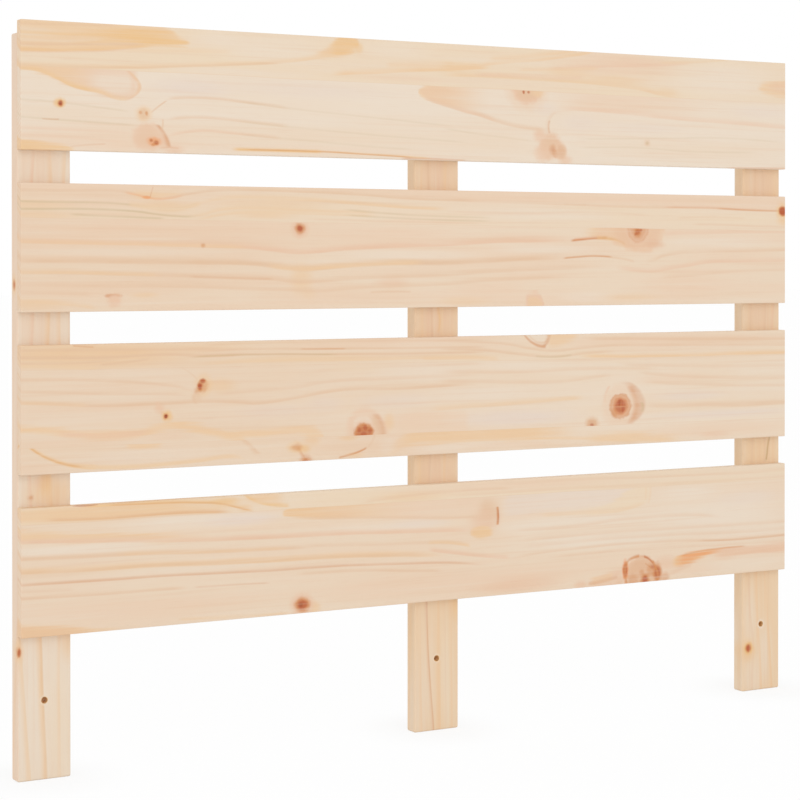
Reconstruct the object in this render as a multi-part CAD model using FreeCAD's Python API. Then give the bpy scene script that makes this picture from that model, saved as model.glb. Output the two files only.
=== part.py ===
"""A slatted pine headboard for a single bed: four boards screwed to the front of three legs.

Lengths are in millimetres. +Z is up and the front faces -Y. The origin lies on the floor, halfway along the
boards and halfway through the depth of a board and a leg together.
"""
import FreeCAD, Part
import os

from FreeCAD import Vector

# Boards: their shared size and how they are spaced, from the floor up
board_names = ("bottom_board", "third_board", "second_board", "top_board")
board_length = 1035.0
board_height = 137.5
board_thickness = 12.0
board_gap = 35.0
floor_clearance = 155.0
board_edge_round = 1.0

# Legs: the outer two are flush with the ends of the boards
leg_names = ("left_leg", "middle_leg", "right_leg")
leg_width = 60.0
leg_thickness = 18.0
leg_top_setback = 13.0
leg_edge_round = 2.0

# Holes through the legs that take the bolts of a bed
bed_hole_diameter = 7.0
bed_hole_height = 85.0

# Countersunk wood screws, driven from behind through a leg into a board
screw_rows = ("lower", "upper")
screw_edge_distance = 35.0
screw_sink = 0.2
screw_tip_cover = 5.0
head_diameter = 8.0
head_rim = 0.4
shank_diameter = 4.0
neck_length = 1.0
thread_core_diameter = 2.6
thread_pitch = 1.8
thread_crest = 0.2
thread_flank = 0.5
tip_length = 3.5
recess_reach = 4.4
recess_wing = 1.0
recess_depth = 1.7
recess_taper_share = 0.6

# Holes for the screws
shank_clearance = 0.25
thread_clearance = 0.05
pilot_run_out = 0.5

# How far a cutting shape runs past the face that it cuts, and how much of a wall a rounded edge may take
overrun = 1.0
round_wall_share = 0.45

# Places that follow from the sizes above
depth = board_thickness + leg_thickness
front_y = -depth / 2
seam_y = front_y + board_thickness
rear_y = depth / 2
board_pitch = board_height + board_gap
board_bottoms = [floor_clearance + i * board_pitch for i in range(len(board_names))]
leg_height = board_bottoms[-1] + board_height - leg_top_setback
leg_pitch = (board_length - leg_width) / (len(leg_names) - 1)
leg_centres = [i * leg_pitch - (board_length - leg_width) / 2 for i in range(len(leg_names))]
screw_offsets = (screw_edge_distance, board_height - screw_edge_distance)
screw_length = depth - screw_sink - screw_tip_cover

head_radius = head_diameter / 2
shank_radius = shank_diameter / 2
core_radius = thread_core_diameter / 2
cone_height = head_radius - shank_radius
neck_end = head_rim + cone_height + neck_length

into_front = Vector(0, -1, 0)
turn_axis = Vector(0, 1, 0)


def eased_block(size, corner, edge_round):
    """A plank with all its edges rounded, from its lowest corner."""
    block = Part.makeBox(size.x, size.y, size.z, corner)
    thinnest = min(size.x, size.y, size.z)
    return block.makeFillet(min(edge_round, round_wall_share * thinnest), block.Edges)


def turned(outline):
    """A solid of revolution about Y, from (radius, y) points that start and end on the axis."""
    points = [Vector(radius, y, 0) for radius, y in outline]
    face = Part.Face(Part.makePolygon(points + points[:1]))
    return face.revolve(Vector(0, 0, 0), turn_axis, 360)


def thread_outline():
    """The ridges of the thread between neck and tip, drawn as rings one pitch apart."""
    ridge = 2 * thread_flank + thread_crest
    room = screw_length - tip_length - neck_end
    points = []
    for turn in range(int(room // thread_pitch)):
        start = -neck_end - turn * thread_pitch
        points.append((core_radius, start))
        points.append((shank_radius, start - thread_flank))
        points.append((shank_radius, start - thread_flank - thread_crest))
        points.append((core_radius, start - ridge))
    return points


def cross_recess():
    """The tapered cross that a driver fits in, sunk into the flat of a screw head."""
    reach = recess_reach / 2
    wing = recess_wing / 2
    lower_reach = reach * recess_taper_share
    lower_wing = wing * recess_taper_share
    across = Part.makeWedge(-lower_reach, -recess_depth, -lower_wing, -wing, -reach,
                            lower_reach, 0, lower_wing, wing, reach)
    upright = across.copy()
    upright.rotate(Vector(0, 0, 0), turn_axis, 90)
    return across.fuse(upright)


def wood_screw():
    """One screw along Y: the flat of its head at the origin, its tip towards the front."""
    outline = [(0, 0), (head_radius, 0), (head_radius, -head_rim)]
    outline += [(shank_radius, -head_rim - cone_height), (shank_radius, -neck_end)]
    outline += thread_outline()
    outline += [(core_radius, -screw_length + tip_length), (0, -screw_length)]
    return turned(outline).cut(cross_recess())


def screw_places(leg_centre, bottom):
    """Where the heads of the two screws sit that hold the board with this bottom edge to a leg."""
    return [Vector(leg_centre, rear_y - screw_sink, bottom + offset) for offset in screw_offsets]


def countersunk_hole(place):
    """The hole in a leg for one screw: room for the shank, and a cone that the head beds in."""
    shank = Part.makeCylinder(shank_radius + shank_clearance, leg_thickness + 2 * overrun,
                              Vector(place.x, rear_y + overrun, place.z), into_front)
    cone_foot = place.y - head_rim - cone_height
    cone_rise = rear_y + overrun - cone_foot
    seat = Part.makeCone(shank_radius, shank_radius + cone_rise, cone_rise,
                         Vector(place.x, cone_foot, place.z), turn_axis)
    return shank.fuse(seat)


def pilot_hole(place):
    """The blind hole in the back of a board that the thread of one screw fills."""
    tip_y = place.y - screw_length
    deep = seam_y - tip_y + pilot_run_out
    return Part.makeCylinder(shank_radius + thread_clearance, deep + overrun,
                             Vector(place.x, seam_y + overrun, place.z), into_front)


def bed_hole(leg_centre):
    """The hole straight through a leg for one bolt of the bed."""
    return Part.makeCylinder(bed_hole_diameter / 2, leg_thickness + 2 * overrun,
                             Vector(leg_centre, rear_y + overrun, bed_hole_height), into_front)


def board(bottom):
    """One board, with the pilot holes for its screws in its back."""
    size = Vector(board_length, board_thickness, board_height)
    plank = eased_block(size, Vector(-board_length / 2, front_y, bottom), board_edge_round)
    places = [place for centre in leg_centres for place in screw_places(centre, bottom)]
    return plank.cut([pilot_hole(place) for place in places])


def leg(centre):
    """One leg, with its countersunk screw holes and the hole for the bed."""
    size = Vector(leg_width, leg_thickness, leg_height)
    post = eased_block(size, Vector(centre - leg_width / 2, seam_y, 0), leg_edge_round)
    places = [place for bottom in board_bottoms for place in screw_places(centre, bottom)]
    return post.cut([countersunk_hole(place) for place in places] + [bed_hole(centre)])


def screw_at(pattern, place):
    """A copy of the pattern screw, moved to its place."""
    screw = pattern.copy()
    screw.translate(place)
    return screw


def main():
    """Build every piece and write it to its own file."""
    pieces = {name: board(bottom) for name, bottom in zip(board_names, board_bottoms)}
    pieces.update({name: leg(centre) for name, centre in zip(leg_names, leg_centres)})
    pattern = wood_screw()
    for board_name, bottom in zip(board_names, board_bottoms):
        for leg_name, centre in zip(leg_names, leg_centres):
            for row, place in zip(screw_rows, screw_places(centre, bottom)):
                pieces[f"{row}_screw_{board_name}_{leg_name}"] = screw_at(pattern, place)
    os.makedirs("parts", exist_ok=True)
    for name, shape in pieces.items():
        shape.exportStep(f"parts/{name}.step")


main()
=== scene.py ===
"""Dresses a slatted pine headboard: the grain of its boards and legs, its wood screws and a white studio.

A board is glued up from strips. One table for each strip and each leg says how its grain looks, in shares
given as thousandths of the piece's length along the grain, and hundredths of its height across it.
They count from the left end and the top edge of a board, and from the foot and the left side of a leg.
Widths, radii, depths and softness are in millimetres. Figures are laid over each other in this order:

until: where the seam below the strip runs, at the left and the right end of the board
base: the tone of the bare wood
clouds: tone, strength
patches: tone, strength, along, across, half length, half height; a few of them are painted shade, marked
where they stand
bands: tone, strength, softness, the shares that fade at both ends, (along, upper edge, lower edge) places
lines: tone, strength, how far before and behind the line it shows, (along, across) places
uprights: the same, for lines that run across the grain
knots: along, across, how much taller than long, (tone, strength, radius, softness) rings from outside in
cracks, splits: lines and uprights that lie over the knots
side_knots: along, across, depth behind the front, the squeeze along, across and through the piece, rings
holes: along, across, rings
"""
import math

import bpy
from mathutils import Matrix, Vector


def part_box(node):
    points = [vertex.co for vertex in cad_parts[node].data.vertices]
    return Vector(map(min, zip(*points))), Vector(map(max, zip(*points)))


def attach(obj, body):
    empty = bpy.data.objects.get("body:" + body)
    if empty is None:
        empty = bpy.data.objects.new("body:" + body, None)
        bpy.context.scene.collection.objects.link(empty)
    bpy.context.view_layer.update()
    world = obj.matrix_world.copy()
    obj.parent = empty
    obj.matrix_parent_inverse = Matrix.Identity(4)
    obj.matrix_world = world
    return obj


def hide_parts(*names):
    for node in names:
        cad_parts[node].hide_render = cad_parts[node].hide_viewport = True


bl_info = {
    "name": "Slatted Pine Headboard",
    "version": (1, 0, 0),
    "blender": (4, 5, 0),
    "location": "View3D > Sidebar > Headboard",
    "description": "Finishes a pine headboard: grain, screws and a white studio",
    "category": "Object",
}

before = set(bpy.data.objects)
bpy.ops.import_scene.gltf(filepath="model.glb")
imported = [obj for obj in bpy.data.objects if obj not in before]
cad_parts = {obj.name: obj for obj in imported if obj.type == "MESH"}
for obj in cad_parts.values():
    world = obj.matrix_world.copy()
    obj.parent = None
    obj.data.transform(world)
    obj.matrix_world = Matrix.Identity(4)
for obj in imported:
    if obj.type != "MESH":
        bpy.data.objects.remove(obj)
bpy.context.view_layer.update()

millimetres = 1000.0
screw_names = sorted(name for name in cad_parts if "_screw_" in name)
screw_low, screw_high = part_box(screw_names[0])

# Units of the grain tables
along_unit = 0.001
across_unit = 0.01

# The curve from screen levels to the light that they stand for
screen_white = 255
dark_limit = 0.04045
dark_slope = 12.92
light_offset = 0.055
light_power = 2.4

# Kinds of sockets, and where the colour sockets of a Mix node lie
number = "NodeSocketFloat"
vector = "NodeSocketVector"
shape = "NodeSocketGeometry"
mix_factor = 0
mix_first = 6
mix_second = 7
mix_result = 2

# How many layers of noise lie over each other, and how far noise and soft edges swing about their middle
coarse_detail = 1.0
usual_detail = 2.0
fine_detail = 3.0
half_swing = 0.5

# Cells of noise for each millimetre along the grain, across it and through the piece
stray_cells = (0.009, 0.035, 0.035)
cloud_cells = (0.005, 0.05, 0.05)
uneven_cells = (0.012, 0.08, 0.08)
feather_cells = (0.014, 0.3, 0.3)
lump_cells = (0.13, 0.13, 0.13)
streak_cells = (0.004, 0.2, 0.2)
fibre_cells = (0.03, 1.6, 1.6)
ring_cells = (0.006, 0.03, 0.03)

# Levels of noise between which clouds, dark and pale streaks, fibres and rough spots come in
cloud_levels = (0.35, 0.65)
dark_levels = (0.5, 0.8)
pale_levels = (0.5, 0.2)
fibre_levels = (0.55, 0.85)
rough_levels = (0.2, 0.8)

# A line of grain: its least strength, what noise adds to it, and the share of it that fades at each end
line_least_share = 0.25
line_added_share = 1.3
line_fade_share = 0.1

# A soft patch: the shares of its size where it ends and where it is full
patch_end_share = 1.1
patch_full_share = 0.2

# A knot: how much more ragged it gets with each millimetre from its heart
knot_spread = 0.12

# The seam between two strips: how far it shows to either side, in millimetres, and how strongly
seam_reach = 0.5
seam_tint = 0.35

# Growth rings: where late wood starts and is darkest in a ring, and how far rings wobble, in millimetres
late_start_share = 0.3
late_peak_share = 0.92
ring_wobble = 9.0

# Where the pith lies across and through a piece, and its step from one piece to the next, in millimetres
board_pith = (40.0, 45.0)
board_pith_step = 15.0
leg_pith = (10.0, 55.0)
leg_pith_step = 5.0

# The sanded surface: tint of streaks beside that of fibres, swing of roughness, strength of bump and gloss
streak_share = 2.0
rough_swing = 0.06
fibre_bump = 0.6
pine_gloss = 0.3

# Zinc plating: cells of noise in a metre, how bright dull spots are, and its colour, gloss and bump
plating_cells = 900.0
dull_share = 0.6
dull_levels = (0.35, 0.75)
gloss_levels = (0.3, 0.7)
gloss_roughness = (0.24, 0.42)
plating_bump = 0.3
plating_height = 0.00005

# How finely a screw is drawn, and how its recess narrows and runs past the flat of the head that it cuts
screw_sides = 24
thread_steps = 20
thread_corners = 4
wing_corners = 4
weld_distance = 0.00001
recess_taper = 0.6
recess_stretch = 1.02
crease_angle = math.radians(30)

# The tones of the studio
white = (1.0, 1.0, 1.0, 1.0)
floor_white = (0.95, 0.95, 0.95, 1.0)

# The upper strip of the top board
top_board_upper_shares = dict(
    until=(35.4, 38.2), base="straw", clouds=("cream", 0.6),
    patches=(
        ("pale", 0.6, 290, 14, 90, 14), ("pale", 0.5, 440, 8, 60, 10), ("pale", 0.8, 900, 20, 110, 22),
        ("blush", 0.9, 740, 10, 110, 18), ("rose", 0.35, 770, 7, 70, 7), ("honey", 0.5, 675, 20, 45, 5),
        ("gold", 0.7, 740, 24, 55, 6), ("cream", 0.8, 560, 31, 110, 6), ("blush", 0.5, 450, 32, 80, 5),
        ("gold", 0.6, 815, 32, 25, 5), ("pale", 0.5, 250, 33, 120, 4), ("pale", 0.5, 220, 6, 40, 8),
        ("amber", 0.5, 393, 8, 7, 6),
    ),
    bands=(
        ("honey", 0.85, 3, (0.02, 0.03),
         ((-60, -8, 24.5), (0, -8, 24.5), (50, -8, 23), (100, -7, 20), (135, -5, 16.8), (150, -3, 14.8),
          (166, 2, 13.8), (178, 7.5, 13), (191, 11, 11.6))),
        ("amber", 0.7, 5, (0.5, 0.05),
         ((60, 2, 17), (110, 3, 13), (150, 4, 14), (178, 8, 13), (190, 11, 12))),
        ("cream", 0.6, 4, (0.02, 0.5), ((-40, 4, 13), (0, 5, 13), (35, 6, 12), (65, 8, 10))),
        ("honey", 0.85, 4, (0.3, 0.03),
         ((332, 17, 18.8), (345, 12.5, 18.4), (357, 7, 17.4), (367, 1, 15.8), (375, -4, 14),
          (382, -6, 12.2), (387, -5, 10.6), (391, 0, 9), (394, 5, 7))),
        ("amber", 0.55, 3.5, (0.4, 0.04),
         ((350, 11, 16.6), (366, 2, 14.8), (380, -3, 12), (389, 1, 9), (393, 5, 7))),
        ("honey", 0.8, 4, (0.12, 0.02),
         ((952, 24, 25), (963, 20.5, 28.5), (978, 18.5, 30.5), (1000, 16.5, 31.5), (1050, 15, 33))),
        ("rose", 0.5, 4, (0.3, 0.02), ((962, 23, 26), (985, 19, 28), (1050, 16, 28))),
        ("amber", 0.5, 4, (0.3, 0.3),
         ((490, 19, 22.5), (520, 17.5, 21.5), (545, 17, 20.5), (565, 17.5, 19))),
    ),
    lines=(
        ("amber", 0.45, 4, 2, ((-60, 9), (40, 10), (90, 9), (140, 9.5), (188, 11.4))),
        ("amber", 0.45, 4, 2, ((50, 17), (100, 14.4), (150, 12.6), (187, 11.8))),
        ("cream", 0.5, 4, 3, ((-60, 16), (0, 16), (50, 15), (95, 12))),
        ("rose", 0.6, 6, 2, ((-60, 25.2), (0, 24.6), (60, 22.8), (105, 19.8), (140, 16.5))),
        ("amber", 0.6, 6, 2, ((-60, 24.4), (0, 23.8), (60, 22), (105, 19), (150, 15))),
        ("tan", 0.7, 4, 1.6, ((-60, 20), (0, 19.6), (60, 17.6), (100, 16.2), (140, 15.2))),
        ("tan", 0.5, 4, 2, ((-60, 3), (0, 3.4), (60, 2.2), (110, 1))),
        ("gold", 1.0, 6, 2,
         ((-60, 36.2), (70, 34.8), (110, 33.6), (150, 32), (200, 29.4), (250, 26.8), (300, 23),
          (340, 18.6), (372, 14))),
        ("tan", 0.5, 2.5, 2, ((40, 35.3), (110, 33.6), (150, 32), (200, 29.4), (250, 26.8), (310, 22.2))),
        ("honey", 0.35, 5, 3, ((110, 20), (170, 18.5), (240, 17))),
        ("honey", 1.0, 7, 2, ((355, 31.8), (380, 30), (420, 27.6), (460, 25), (510, 22.2), (570, 18.5))),
        ("honey", 0.4, 8, 3, ((425, 22), (470, 20), (520, 18))),
        ("honey", 0.8, 6, 2, ((545, 18.5), (590, 13.5), (630, 10), (670, 5.5), (715, -1))),
        ("honey", 0.6, 6, 2.5, ((560, 12), (600, 9), (650, 4), (690, -1))),
        ("rose", 0.55, 6, 2, ((640, 17), (700, 14), (790, 9.5), (860, 5))),
        ("gold", 0.9, 8, 2,
         ((490, 27), (600, 27), (700, 28), (745, 29.5), (780, 31.5), (805, 35), (850, 38))),
        ("gold", 0.6, 4, 2, ((800, 6.5), (850, 4.5), (890, 2), (925, -2))),
        ("rose", 0.5, 6, 2, ((540, 26), (640, 25), (700, 24))),
        ("honey", 0.45, 5, 2, ((600, 20), (660, 17.5), (720, 15))),
    ),
)

# The lower strip of the top board
top_board_lower_shares = dict(
    base="pale", clouds=("cream", 0.4),
    patches=(
        ("lilac", 0.8, 190, 47, 60, 10), ("lilac", 0.5, 330, 45, 130, 9), ("lilac", 0.5, 690, 64, 40, 10),
        ("lilac", 0.5, 640, 52, 22, 9), ("blush", 0.7, 90, 90, 190, 16), ("cream", 0.8, 300, 84, 260, 14),
        ("blush", 0.35, 330, 95, 200, 7), ("cream", 0.7, 560, 82, 100, 14),
        ("cream", 0.5, 860, 86, 160, 12), ("cream", 0.6, 60, 72, 90, 10), ("blush", 0.6, 112, 95, 30, 8),
        ("lilac", 0.5, 960, 47, 60, 8), ("lilac", 0.4, 780, 66, 80, 7), ("rose", 0.7, 170, 97, 16, 5),
        ("rose", 0.8, 633, 76, 12, 8), ("rose", 0.7, 669, 97, 13, 6), ("rose", 0.8, 158, 91, 9, 8),
    ),
    bands=(
        ("rose", 0.6, 3, (0.02, 0.05),
         ((-40, 28, 38.5), (20, 28, 39.5), (45, 28, 47), (70, 28, 52), (100, 28, 57.5), (118, 28, 58),
          (131, 28, 49))),
        ("honey", 0.7, 4, (0.2, 0.5),
         ((0, 28, 38), (25, 28, 41), (42, 28, 45.6), (60, 28, 50), (90, 28, 54))),
        ("pale", 0.7, 5, (0.4, 0.15),
         ((66, 42, 47), (85, 40, 51), (105, 39, 54), (118, 40, 53), (126, 44, 50))),
        ("honey", 0.85, 3, (0.02, 0.86),
         ((468, 41.5, 42.5), (474, 38.5, 46), (484, 34, 48.5), (497, 28, 51), (520, 28, 55),
          (570, 28, 61))),
        ("rose", 0.45, 4, (0.05, 0.8), ((469, 41, 43), (485, 35, 48.5), (510, 30, 53), (570, 30, 60))),
        ("blush", 0.65, 4, (0.3, 0.4),
         ((640, 28, 50), (690, 28, 52.5), (760, 28, 54), (810, 28, 55.5), (900, 30, 58))),
        ("rose", 0.1, 4, (0.3, 0.4), ((645, 38, 49), (700, 39, 52), (760, 40, 53), (830, 44, 55))),
        ("honey", 1.0, 2.5, (0.02, 0.1),
         ((-40, 92, 106), (0, 93, 106), (30, 94.6, 106), (53, 96.6, 106), (62, 100, 106))),
        ("amber", 0.4, 2.5, (0.02, 0.1), ((-40, 92, 106), (0, 93.4, 106), (30, 95, 106), (60, 99, 106))),
    ),
    lines=(
        ("honey", 1.0, 7, 2,
         ((-40, 38), (0, 38.2), (20, 39.3), (40, 44.6), (52, 48.8), (70, 52), (88, 54.3), (102, 58),
          (113, 59), (126, 57.4))),
        ("amber", 0.4, 6, 2, ((-40, 38), (0, 38.2), (20, 39.3), (40, 44.6), (55, 49.5), (80, 53.4))),
        ("tan", 0.55, 6, 2,
         ((475, 47), (495, 51.5), (525, 57), (550, 60.5), (575, 65), (600, 68.5), (645, 71.5))),
        ("rose", 0.5, 6, 2, ((475, 47), (495, 51.5), (525, 57), (550, 60.5), (575, 65))),
        ("rose", 0.45, 8, 2,
         ((645, 58), (660, 54.5), (680, 52.5), (700, 52.5), (760, 54), (800, 55.5), (900, 58.5),
          (1050, 62))),
        ("tan", 0.55, 4, 2,
         ((158, 59), (165, 57), (175, 56), (190, 55.4), (215, 55.2), (250, 57), (310, 61))),
        ("olive", 0.2, 2.5, 1.6, ((240, 56.4), (330, 62), (400, 65.5), (450, 67.5), (520, 71))),
        ("tan", 0.5, 4, 2, ((160, 73.6), (190, 71.2), (215, 71), (250, 72.4), (310, 76))),
        ("olive", 0.2, 2.5, 1.6, ((240, 72), (320, 76.5), (400, 80), (450, 81.5), (540, 84.6))),
        ("rose", 0.6, 4, 2, ((160, 87), (190, 82.6), (205, 81.5), (230, 82.2), (300, 85.6))),
        ("olive", 0.18, 2.5, 1.6, ((240, 82.8), (300, 85.6), (400, 90), (470, 91.5))),
        ("olive", 0.25, 2.5, 1.6, ((-40, 61), (50, 63.5), (90, 66), (125, 69))),
        ("olive", 0.3, 2.5, 1.6, ((-40, 73.5), (30, 76.2), (70, 77), (130, 79))),
        ("rose", 0.25, 3, 2, ((-40, 83), (60, 84), (130, 85.5))),
        ("rose", 0.2, 3, 2, ((-40, 88), (60, 90), (115, 92.5))),
        ("rust", 0.35, 1.6, 1.2, ((22, 76), (32, 76.2), (42, 76))),
        ("rust", 0.2, 2, 1.2, ((52, 97), (70, 95.6), (94, 94.2))),
        ("rust", 0.25, 2, 1.2, ((152, 96.6), (162, 95.8), (176, 96.4))),
        ("amber", 0.95, 4, 2.5, ((235, 95.9), (270, 95.8), (310, 95.9), (350, 96.2))),
        ("amber", 0.6, 2.5, 1.5, ((325, 95.7), (370, 96.2), (420, 97), (490, 98.5))),
        ("rust", 0.5, 1.6, 1.2, ((245, 95.8), (280, 95.5), (340, 95.8), (420, 97.1), (470, 98.4))),
        ("rust", 0.5, 2.5, 1.2, ((445, 99.6), (480, 98.8), (535, 99.6))),
        ("olive", 0.2, 2.5, 1.6, ((500, 73), (560, 77), (625, 81))),
        ("olive", 0.2, 2.5, 1.6, ((680, 78), (800, 75), (900, 73), (1000, 75))),
        ("olive", 0.2, 2.5, 1.6, ((680, 86), (760, 84), (860, 86), (960, 85))),
        ("rust", 0.4, 2.5, 1.2, ((905, 100.4), (950, 99.4), (1010, 99.4))),
    ),
    uprights=(
        ("rose", 1.0, 5, 3, ((115, 34), (124, 40), (130, 46), (130, 51), (124, 56), (112, 60))),
        ("honey", 0.5, 5, 3, ((119, 36), (128, 43), (131, 48), (127, 54), (118, 58))),
        ("tan", 0.3, 7, 3, ((658, 53.6), (649, 59), (645, 66), (647, 75))),
        ("rust", 0.4, 3, 2, ((647, 62), (645.4, 68), (647, 74))),
        ("rust", 0.6, 6, 3.5, ((150, 77), (156, 82), (161, 88), (165, 96))),
        ("tan", 0.6, 2, 2, ((157, 73), (157, 77), (156, 82))),
        ("tan", 0.8, 3, 2.5, ((162, 58), (153, 63), (143, 69))),
    ),
    knots=(
        (42, 63.2, 0.8, (("amber", 0.85, 5.6, 2.5),)),
        (42.8, 63.5, 1.2, (("rust", 0.9, 3.2, 1.4), ("ember", 0.95, 2.3, 1.0), ("bark", 0.5, 1.4, 0.8))),
        (135, 69.6, 0.9, (("honey", 0.8, 8, 4), ("tan", 0.65, 5.8, 3))),
        (131.5, 68.7, 1.0, (("rust", 0.5, 1.8, 1.2),)),
        (138.5, 69.3, 1.3, (("rust", 0.7, 2, 1.2),)),
        (140, 88, 0.85, (("rose", 0.8, 16.5, 4), ("tan", 0.3, 11, 5))),
        (147, 91.2, 0.55, (("copper", 0.7, 6, 2.6),)),
        (143.6, 90.4, 0.9, (("rust", 0.7, 2, 1.2), ("ember", 0.5, 1.4, 1.0))),
        (149.6, 92, 0.9, (("rust", 0.9, 3, 1.2), ("ember", 0.6, 2.1, 1.1))),
        (146, 93.6, 0.6, (("rust", 0.7, 1.6, 1.0),)),
        (615, 37, 0.8, (("blush", 0.7, 26, 7), ("rose", 1.0, 18, 3.5), ("tan", 0.8, 13, 5))),
        (630, 39, 0.6, (("honey", 0.8, 6, 4),)),
        (610.5, 38.8, 1.2, (("rust", 0.6, 2, 1.1), ("ember", 0.7, 1.5, 0.9))),
        (617, 38.6, 0.9, (("rust", 0.5, 1.8, 1.1), ("ember", 0.6, 1.3, 0.9))),
        (648.5, 85, 1.0, (("rose", 1.0, 15.5, 4.5), ("tan", 0.55, 13, 5))),
        (637, 91, 0.9, (("rose", 0.8, 10, 6),)),
        (663, 89.5, 1.2, (("rose", 0.8, 9, 3.5), ("tan", 0.6, 8, 3), ("rust", 0.22, 6.5, 3.5))),
        (651, 88, 1.3, (("rust", 0.34, 5.6, 2.6), ("ember", 0.15, 2.4, 1.4))),
        (654, 91.4, 1.3, (("rust", 0.32, 4, 2),)),
        (787, 79.6, 0.9, (("tan", 0.55, 4, 2.5), ("olive", 0.45, 2, 1.4))),
    ),
)

# The upper strip of the second board
second_board_upper_shares = dict(
    until=(26.6, 32.6), base="cream", clouds=("straw", 0.5),
    patches=(
        ("gold", 0.6, 280, 14, 90, 9), ("honey", 0.6, 15, 25, 60, 4), ("honey", 0.5, 275, 23, 45, 4),
        ("honey", 0.9, 997, 5, 18, 9), ("honey", 0.9, 998, 23, 16, 6), ("pale", 0.6, 640, 20, 120, 8),
        ("pale", 0.2, 70, 12, 80, 4), ("blush", 0.6, 110, 10, 190, 14), ("straw", 0.6, 930, 22, 80, 7),
        ("gold", 0.7, 10, 17, 60, 6), ("gold", 0.8, 160, 17, 40, 6), ("blush", 0.5, 480, 26, 70, 5),
        # The broad tan patch at the left end is painted shade: it darkens the left part of the board and
        # fades out towards the middle.
        ("rose", 0.35, 890, 9, 110, 4), ("tan", 0.2, 0, 50, 450, 150),
    ),
    bands=(
        ("blush", 1.0, 4, (0.02, 0.02),
         ((-40, -6, 5.5), (110, -6, 5.5), (200, -6, 3), (300, -6, 2.5), (400, -6, 5), (560, -6, 9),
          (760, -6, 11), (860, -6, 11), (1040, -6, 12))),
        ("honey", 0.8, 4, (0.3, 0.3),
         ((108, 4, 6), (125, 4, 9), (140, 5, 11), (160, 5, 11), (190, 4, 7))),
    ),
    lines=(
        ("tan", 0.8, 4, 1.6, ((-40, 6), (60, 6), (118, 6.4), (130, 8.6))),
        ("copper", 0.4, 3, 1.6,
         ((112, 6.2), (128, 8.5), (140, 10.6), (152, 11.6), (166, 10.5), (182, 8))),
        ("tan", 0.7, 4, 1.6,
         ((150, 11.6), (168, 10.2), (184, 7.6), (200, 5.7), (220, 4), (250, 3), (320, 4), (400, 5.6),
          (440, 7), (560, 9))),
        ("olive", 0.6, 2.5, 1.6,
         ((-40, 14.5), (50, 14.8), (100, 15.2), (120, 16.3), (140, 18.1), (158, 19.4), (174, 19.2),
          (188, 17), (202, 14))),
        ("olive", 0.6, 3, 1.8, ((148, 18.8), (165, 19.4), (180, 18.2), (197, 15))),
        ("gold", 1.0, 6, 3, ((115, 16), (142, 18.3), (158, 19.4), (174, 19.2), (190, 16.6), (204, 14))),
        ("gold", 0.9, 5, 2,
         ((190, 16.5), (212, 12), (235, 9.8), (270, 9.5), (330, 10.5), (370, 12), (420, 14), (520, 16.8))),
        ("honey", 0.5, 4, 2, ((360, 11.5), (410, 13.6), (450, 15), (500, 16.4))),
        ("olive", 0.6, 2.5, 1.6,
         ((-40, 21), (30, 20.2), (60, 20), (110, 20.8), (130, 21.8), (150, 23.5), (170, 24.7),
          (190, 24.8), (206, 22.6))),
        ("gold", 0.8, 4, 2,
         ((180, 25.4), (205, 23), (216, 20.4), (240, 18), (280, 18), (330, 19), (420, 20))),
        ("olive", 0.5, 2.5, 1.6, ((50, 23.8), (90, 25), (130, 26.2), (162, 27))),
        ("gold", 0.8, 4, 2,
         ((190, 27.4), (205, 26), (218, 24), (240, 22), (270, 21), (330, 21.5), (420, 23))),
        ("olive", 0.4, 2.5, 1.6, ((370, 17.8), (430, 20.4), (500, 22.4), (570, 23.5))),
        ("olive", 0.4, 2.5, 1.6, ((370, 22.2), (430, 24), (500, 25.5), (570, 26.5))),
        ("tan", 0.35, 2.5, 1.6, ((320, 26), (430, 27), (560, 28.5))),
        ("tan", 0.45, 5, 2, ((500, 8), (600, 9.5), (680, 10.4), (760, 12), (830, 12.6))),
        ("rose", 0.6, 4, 2,
         ((800, 12.2), (850, 11.9), (880, 12), (915, 12.8), (985, 13.7), (1012, 13.8))),
        ("rust", 0.3, 2.6, 1.4,
         ((810, 12.2), (850, 11.9), (880, 12), (915, 12.8), (985, 13.7), (1012, 13.8))),
        ("rust", 0.4, 2.6, 1.4, ((890, 12.2), (915, 12.8), (985, 13.7), (1012, 13.8))),
        ("tan", 0.3, 3, 2, ((500, 18), (600, 19), (700, 17), (800, 20))),
        ("tan", 0.3, 3, 2, ((830, 21.5), (870, 20.5), (940, 21))),
        ("tan", 0.45, 3, 2, ((850, 27), (920, 27.7), (1040, 30))),
        ("tan", 0.4, 2.5, 2, ((665, 10), (682, 10.2), (700, 10.6))),
    ),
    uprights=(("rust", 0.35, 1.6, 1.2, ((146, 1), (144, 6), (142, 11))),),
    knots=(
        (138.5, 10.2, 0.35, (("copper", 0.7, 2.8, 1.5),)),
        (995.5, 14, 1.0, (("amber", 0.75, 9.5, 5), ("rust", 0.9, 6.8, 1.6), ("ember", 0.9, 5.2, 1.5))),
    ),
)

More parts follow.
